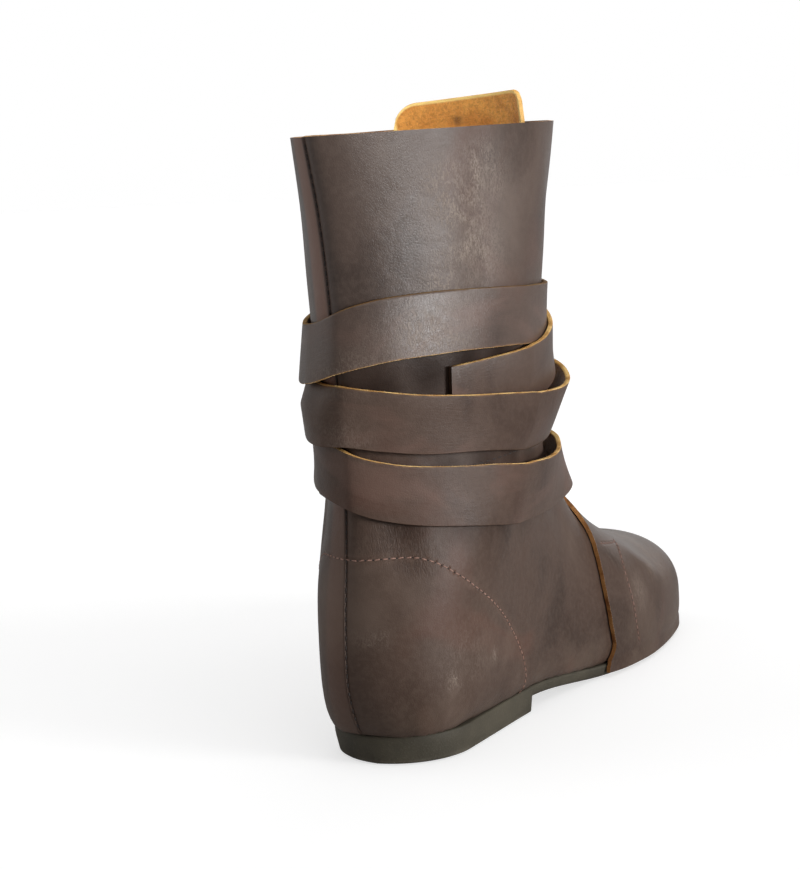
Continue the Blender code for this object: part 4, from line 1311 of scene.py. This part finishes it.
def stitch_tree():
    """Geometry nodes: short rounded bars along lines, each turned to its line and its surface."""
    tree = bpy.data.node_groups.new("stitches", "GeometryNodeTree")
    tree.interface.new_socket("Geometry", in_out="INPUT", socket_type="NodeSocketGeometry")
    for label, value in (("Pitch", 0.0035), ("Length", 0.0026), ("Thickness", 0.0008), ("Lift", 0.0),
                         ("Wander", 4.0)):
        tree.interface.new_socket(label, in_out="INPUT", socket_type="NodeSocketFloat").default_value = value
    for label, value in (("Shift", 0), ("Seed", 3)):
        tree.interface.new_socket(label, in_out="INPUT", socket_type="NodeSocketInt").default_value = value
    tree.interface.new_socket("Thread", in_out="INPUT", socket_type="NodeSocketMaterial")
    tree.interface.new_socket("Geometry", in_out="OUTPUT", socket_type="NodeSocketGeometry")
    given, result = tree.nodes.new("NodeGroupInput"), tree.nodes.new("NodeGroupOutput")
    link = tree.links.new

    curve = tree.nodes.new("GeometryNodeMeshToCurve")
    link(given.outputs["Geometry"], curve.inputs["Mesh"])
    spaced = tree.nodes.new("GeometryNodeResampleCurve")
    spaced.mode = "LENGTH"
    link(curve.outputs["Curve"], spaced.inputs["Curve"])
    link(math_node(tree, "MULTIPLY", given.outputs["Pitch"], 0.5), spaced.inputs["Length"])
    number = tree.nodes.new("GeometryNodeInputIndex")
    turn = math_node(tree, "MODULO", math_node(tree, "ADD", number.outputs[0], given.outputs["Shift"]), 2)
    chosen = tree.nodes.new("FunctionNodeCompare")
    chosen.data_type = "FLOAT"
    chosen.operation = "LESS_THAN"
    link(turn, chosen.inputs[0])
    chosen.inputs[1].default_value = 0.5
    tangent = tree.nodes.new("GeometryNodeInputTangent")
    surface = tree.nodes.new("GeometryNodeInputNamedAttribute")
    surface.data_type = "FLOAT_VECTOR"
    surface.inputs["Name"].default_value = "surface"
    along = tree.nodes.new("FunctionNodeAlignRotationToVector")
    along.axis = "X"
    link(tangent.outputs[0], along.inputs["Vector"])
    upright = tree.nodes.new("FunctionNodeAlignRotationToVector")
    upright.axis, upright.pivot_axis = "Z", "X"
    link(along.outputs["Rotation"], upright.inputs["Rotation"])
    link(surface.outputs["Attribute"], upright.inputs["Vector"])
    chance = tree.nodes.new("FunctionNodeRandomValue")
    chance.data_type = "FLOAT"
    swing = math_node(tree, "MULTIPLY", given.outputs["Wander"], math.pi / 180)
    link(math_node(tree, "MULTIPLY", swing, -1.0), chance.inputs[2])
    link(swing, chance.inputs[3])
    link(given.outputs["Seed"], chance.inputs["Seed"])
    angles = tree.nodes.new("ShaderNodeCombineXYZ")
    link(chance.outputs[1], angles.inputs["Z"])
    to_turn = tree.nodes.new("FunctionNodeEulerToRotation")
    link(angles.outputs[0], to_turn.inputs[0])
    turned = tree.nodes.new("FunctionNodeRotateRotation")
    turned.rotation_space = "LOCAL"
    link(upright.outputs["Rotation"], turned.inputs[0])
    link(to_turn.outputs[0], turned.inputs[1])
    bar = tree.nodes.new("GeometryNodeMeshUVSphere")
    bar.inputs["Segments"].default_value = 8
    bar.inputs["Rings"].default_value = 6
    bar.inputs["Radius"].default_value = 0.5
    size = tree.nodes.new("ShaderNodeCombineXYZ")
    link(given.outputs["Length"], size.inputs["X"])
    link(given.outputs["Thickness"], size.inputs["Y"])
    link(math_node(tree, "MULTIPLY", given.outputs["Thickness"], 0.85), size.inputs["Z"])
    shaped = tree.nodes.new("GeometryNodeTransform")
    link(bar.outputs["Mesh"], shaped.inputs["Geometry"])
    link(size.outputs[0], shaped.inputs["Scale"])
    raised = tree.nodes.new("ShaderNodeVectorMath")
    raised.operation = "SCALE"
    link(surface.outputs["Attribute"], raised.inputs[0])
    link(given.outputs["Lift"], raised.inputs["Scale"])
    seated = tree.nodes.new("GeometryNodeSetPosition")
    link(spaced.outputs["Curve"], seated.inputs["Geometry"])
    link(raised.outputs[0], seated.inputs["Offset"])
    placed = tree.nodes.new("GeometryNodeInstanceOnPoints")
    link(seated.outputs["Geometry"], placed.inputs["Points"])
    link(chosen.outputs[0], placed.inputs["Selection"])
    link(shaped.outputs["Geometry"], placed.inputs["Instance"])
    link(turned.outputs[0], placed.inputs["Rotation"])
    real = tree.nodes.new("GeometryNodeRealizeInstances")
    link(placed.outputs["Instances"], real.inputs["Geometry"])
    smooth = tree.nodes.new("GeometryNodeSetShadeSmooth")
    link(real.outputs["Geometry"], smooth.inputs["Geometry"])
    thread = tree.nodes.new("GeometryNodeSetMaterial")
    link(smooth.outputs[0], thread.inputs["Geometry"])
    link(given.outputs["Thread"], thread.inputs["Material"])
    link(thread.outputs["Geometry"], result.inputs["Geometry"])
    return tree


def thread(name, dark, light):
    """Twisted waxed thread."""
    material = new_material(name)
    tree = material.node_tree
    where = place(tree)
    fibre = noise(tree, where, 2500, 3, 0.6)
    colour = mix_colour(tree, ramp(tree, fibre, 0.38, 0.62), dark, light)
    finish_surface(material, colour, 0.6, math_node(tree, "MULTIPLY", fibre, 0.0001), 1.0, 0.4)
    return material


STITCHES = stitch_tree()
SEAM_LOW = 0.0155           # the back seam's stitches end at this height over the floor,
SEAM_SHORT = 0.002          # this far under the collar,
SEAM_FRONT = 0.035          # and lie behind this place along
RIM_LOW = 0.016             # the vamp's fibres start at this height


def sew(name, lines, material, slot, **sizes):
    """Stitches along lines of (points, normals), as one piece."""
    verts, normals, edges = [], [], []
    for spots, faces_out in lines:
        start = len(verts)
        verts += [tuple(map(float, v)) for v in spots]
        normals += [tuple(map(float, v)) for v in faces_out]
        edges += [(i, i + 1) for i in range(start, len(verts) - 1)]
    mesh = bpy.data.meshes.new(name)
    mesh.from_pydata(verts, edges, [])
    layer = mesh.attributes.new("surface", "FLOAT_VECTOR", "POINT")
    layer.data.foreach_set("vector", np.array(normals, np.float32).ravel())
    obj = new_object(name, mesh)
    modifier = obj.modifiers.new("stitches", "NODES")
    modifier.node_group = STITCHES
    for item in STITCHES.interface.items_tree:
        if item.item_type == "SOCKET" and item.in_out == "INPUT":
            if item.name in sizes:
                modifier[item.identifier] = sizes[item.name]
            elif item.name == "Thread":
                modifier[item.identifier] = material
    bake_modifiers(obj)
    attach(obj, "root")
    return obj


def back_seam():
    """Points and normals down the back seam, from the collar to the sole."""
    middle = len(SEAM_COLUMNS) // 2
    line = (upper_grid[:, middle - 1] + 3 * upper_grid[:, middle]) / 4
    rear = (line[:, 2] > SEAM_LOW) & (line[:, 1] < SEAM_FRONT) & (line[:, 2] < COLLAR_HEIGHT - SEAM_SHORT)
    spots = to_world(line[rear])[::-1]
    run = np.gradient(spots, axis=0)
    out = np.cross(run, np.array([1.0, 0, 0]))
    out *= np.sign(out[:, 1:2])
    return spots, out / np.linalg.norm(out, axis=1, keepdims=True)


DARK_THREAD = thread("dark_thread", (0.016, 0.011, 0.010), (0.040, 0.028, 0.024))
TAN_THREAD = thread("tan_thread", (0.200, 0.105, 0.078), (0.360, 0.215, 0.165))
FAINT_THREAD = thread("faint_thread", (0.150, 0.078, 0.060), (0.260, 0.150, 0.118))
# Needle holes: near-black beads sunk in the hide, their shade painted
HOLE_SHADE = thread("needle_hole_shade", (0.006, 0.004, 0.003), (0.012, 0.009, 0.007))
FIBRE = thread("loose_fibre", (0.560, 0.330, 0.150), (0.900, 0.700, 0.460))
ANKLE_LINE = (
    # the shaft's lower seam, seen between two turns of the strap: angle, along and up
    (62, 28, 121.0),
    (90, 37.5, 123.7),
    (90, 50.7, 124.6),
    (90, 62, 125.2),
    (90, 78, 126.0),
    (90, 96, 127.0),
)


def strap_edge(first, last):
    """Stretches of one outer edge of the strap where its core shows, with normals away from the boot."""
    sections = strap_points.reshape(-1, len(STRAP_SECTION), 3)
    out = sections[:, first] - sections[:, last]
    out /= np.linalg.norm(out, axis=1, keepdims=True)
    bright = np.reshape(core, (-1, len(STRAP_SECTION)))[:, first] > BRIGHT_CORE
    ends = np.flatnonzero(np.diff(np.concatenate([[0], bright.astype(int), [0]])))
    return [(sections[i:j, first], out[i:j]) for i, j in zip(ends[::2], ends[1::2]) if j - i > 3]


def vamp_rim():
    """The vamp's raw edge above the sole, from the outer to the inner side, with normals."""
    points = to_world(vamp_grid[-1])
    run = np.roll(points, -1, axis=0) - np.roll(points, 1, axis=0)
    out = np.cross(run, to_world(vamp_grid[-2]) - points)
    out /= np.maximum(np.linalg.norm(out, axis=1, keepdims=True), 1e-9)
    middle = points.mean(axis=0)
    out *= np.sign(np.sum(out * (points - middle), axis=1))[:, None]
    high = vamp_grid[-1][:, 2] > RIM_LOW
    start = int(np.argmin(high))
    order = (np.arange(len(high)) + start) % len(high)
    kept = [k for k in order if high[k]]
    return points[kept], out[kept]


ankle_lines = [cast_line(upper_tree, [(side * angle, along, up) for angle, along, up in ANKLE_LINE])
               for side in (1, -1)]
seam_line = [back_seam()]
sew("strap_fibres", strap_edge(2, 16) + strap_edge(10, 13), FIBRE, "strap_leather",
    Pitch=0.0014, Length=0.0010, Thickness=0.00010, Lift=0.0, Wander=88.0, Seed=31)
sew("vamp_fibres", [vamp_rim()], FIBRE, "boot_leather",
    Pitch=0.0014, Length=0.0008, Thickness=0.00010, Lift=0.0, Wander=88.0, Seed=33)
sew("ankle_seam_thread", ankle_lines, DARK_THREAD, "boot_leather",
    Pitch=0.0038, Length=0.0030, Thickness=0.0007, Lift=-0.0001, Wander=5.0, Seed=21)
sew("back_seam_thread", seam_line, DARK_THREAD, "boot_leather",
    Pitch=0.0040, Length=0.0027, Thickness=0.0009, Lift=0.0, Wander=7.0, Seed=5)
sew("back_seam_holes", seam_line, HOLE_SHADE, "boot_leather",
    Pitch=0.0040, Length=0.0008, Thickness=0.0009, Lift=-0.0003, Wander=0.0, Shift=1)
sew("counter_thread", [outer_counter, inner_counter], TAN_THREAD, "boot_leather",
    Pitch=0.0033, Length=0.0025, Thickness=0.00062, Lift=0.0, Wander=9.0, Seed=8)
sew("counter_holes", [outer_counter, inner_counter], HOLE_SHADE, "boot_leather",
    Pitch=0.0033, Length=0.0009, Thickness=0.0008, Lift=-0.0002, Wander=0.0, Shift=1)
sew("vamp_thread", vamp_lines, FAINT_THREAD, "boot_leather",
    Pitch=0.0030, Length=0.0024, Thickness=0.0006, Lift=0.0, Wander=6.0, Seed=11)
sew("vamp_holes", vamp_lines, HOLE_SHADE, "boot_leather",
    Pitch=0.0030, Length=0.0009, Thickness=0.0008, Lift=-0.0002, Wander=0.0, Shift=1)


# ---------------------------------------------------------------- floor, light and camera
# A pale floor under soft studio light. The camera looks from behind and a little to the outer side,
# and is rolled as the photograph is.

CAMERA_PLACE = (-0.4095, 0.8660, 0.2614)
CAMERA_BACK = (-0.46485, 0.87388, 0.14228)
CAMERA_ROLL = math.radians(3.51)
FOCAL_SHARE = 2044 / 869    # focal length as a share of the picture's longer side
FLOOR_GLOW = 0.62           # how much whiter the camera sees the floor than it lights the boot
SURROUND = 0.20             # how bright the surround lights the boot; the camera sees it white
LAMPS = (
    # name, direction of its light, strength, softness in degrees
    ("side_box", (0.97, 0.00, -0.12), 3.0, 20),
    ("high_box", (0.62, -0.32, -0.72), 0.6, 50),
    ("back_wall", (-0.12, 0.93, -0.34), 0.45, 45),
    ("far_fill", (-0.90, -0.25, -0.36), 0.6, 60),
    ("top_light", (0.05, 0.10, -1.0), 0.6, 70),
)
TONGUE_LAMP = ((-0.25, 0.86, 0.80), (0.022, 0.010, 0.292), 62.0, 6.0)     # place, aim, watts, degrees
TONGUE_LAMP_EDGE, TONGUE_LAMP_RADIUS = 0.8, 0.05
FLOOR_HALF = 8
SENSOR = 36                 # millimetres


def studio():
    """Floor, lights and a white surround."""
    corners = [(x * FLOOR_HALF, y * FLOOR_HALF, 0) for x, y in ((-1, -1), (1, -1), (1, 1), (-1, 1))]
    floor = add_piece("floor", corners, [(0, 1, 2, 3)], (), None, False)
    material = new_material("floor")
    shader = material.node_tree.nodes["Principled BSDF"]
    shader.inputs["Base Color"].default_value = (0.55, 0.55, 0.55, 1)
    shader.inputs["Roughness"].default_value = 0.95
    shader.inputs["Specular IOR Level"].default_value = 0.0
    shader.inputs["Emission Color"].default_value = (1.0, 1.0, 1.0, 1)
    nodes, links = material.node_tree.nodes, material.node_tree.links
    ray = nodes.new("ShaderNodeLightPath")
    glow = nodes.new("ShaderNodeMath")
    glow.operation = "MULTIPLY"
    glow.inputs[1].default_value = FLOOR_GLOW
    links.new(ray.outputs["Is Camera Ray"], glow.inputs[0])
    links.new(glow.outputs[0], shader.inputs["Emission Strength"])
    floor.data.materials.append(material)
    for name, aim, power, softness in LAMPS:
        lamp = bpy.data.lights.new(name, "SUN")
        lamp.angle = math.radians(softness)
        lamp.energy = power
        new_object(name, lamp).rotation_euler = Vector(aim).to_track_quat("-Z", "Y").to_euler()
    spot = bpy.data.lights.new("tongue_lamp", "SPOT")
    where, aim, spot.energy, cone = TONGUE_LAMP
    spot.spot_size, spot.spot_blend = math.radians(cone), TONGUE_LAMP_EDGE
    spot.shadow_soft_size = TONGUE_LAMP_RADIUS
    light = new_object("tongue_lamp", spot)
    light.location = where
    light.rotation_euler = (Vector(aim) - Vector(where)).to_track_quat("-Z", "Y").to_euler()
    world = bpy.data.worlds.new("studio")
    bpy.context.scene.world = world
    world.use_nodes = True
    nodes, links = world.node_tree.nodes, world.node_tree.links
    seen = nodes.new("ShaderNodeLightPath")
    level = nodes.new("ShaderNodeMapRange")
    level.inputs["To Min"].default_value = SURROUND
    level.inputs["To Max"].default_value = 1.0
    links.new(seen.outputs["Is Camera Ray"], level.inputs["Value"])
    nodes["Background"].inputs["Color"].default_value = (1.0, 1.0, 1.0, 1)
    links.new(level.outputs["Result"], nodes["Background"].inputs["Strength"])


def camera():
    """Camera at the photograph's angle."""
    back = Vector(CAMERA_BACK).normalized()
    right = Vector((0, 0, 1)).cross(back).normalized()
    up = back.cross(right)
    c, s = math.cos(CAMERA_ROLL), math.sin(CAMERA_ROLL)
    x, y = right * c - up * s, right * s + up * c
    data = bpy.data.cameras.new("camera")
    data.sensor_width = SENSOR
    data.lens = SENSOR * FOCAL_SHARE
    data.clip_end = 50
    obj = new_object("camera", data)
    matrix = Matrix((x, y, back)).transposed().to_4x4()
    matrix.translation = Vector(CAMERA_PLACE)
    obj.matrix_world = matrix
    bpy.context.scene.camera = obj


studio()
camera()
bpy.context.scene.view_settings.view_transform = "Standard"
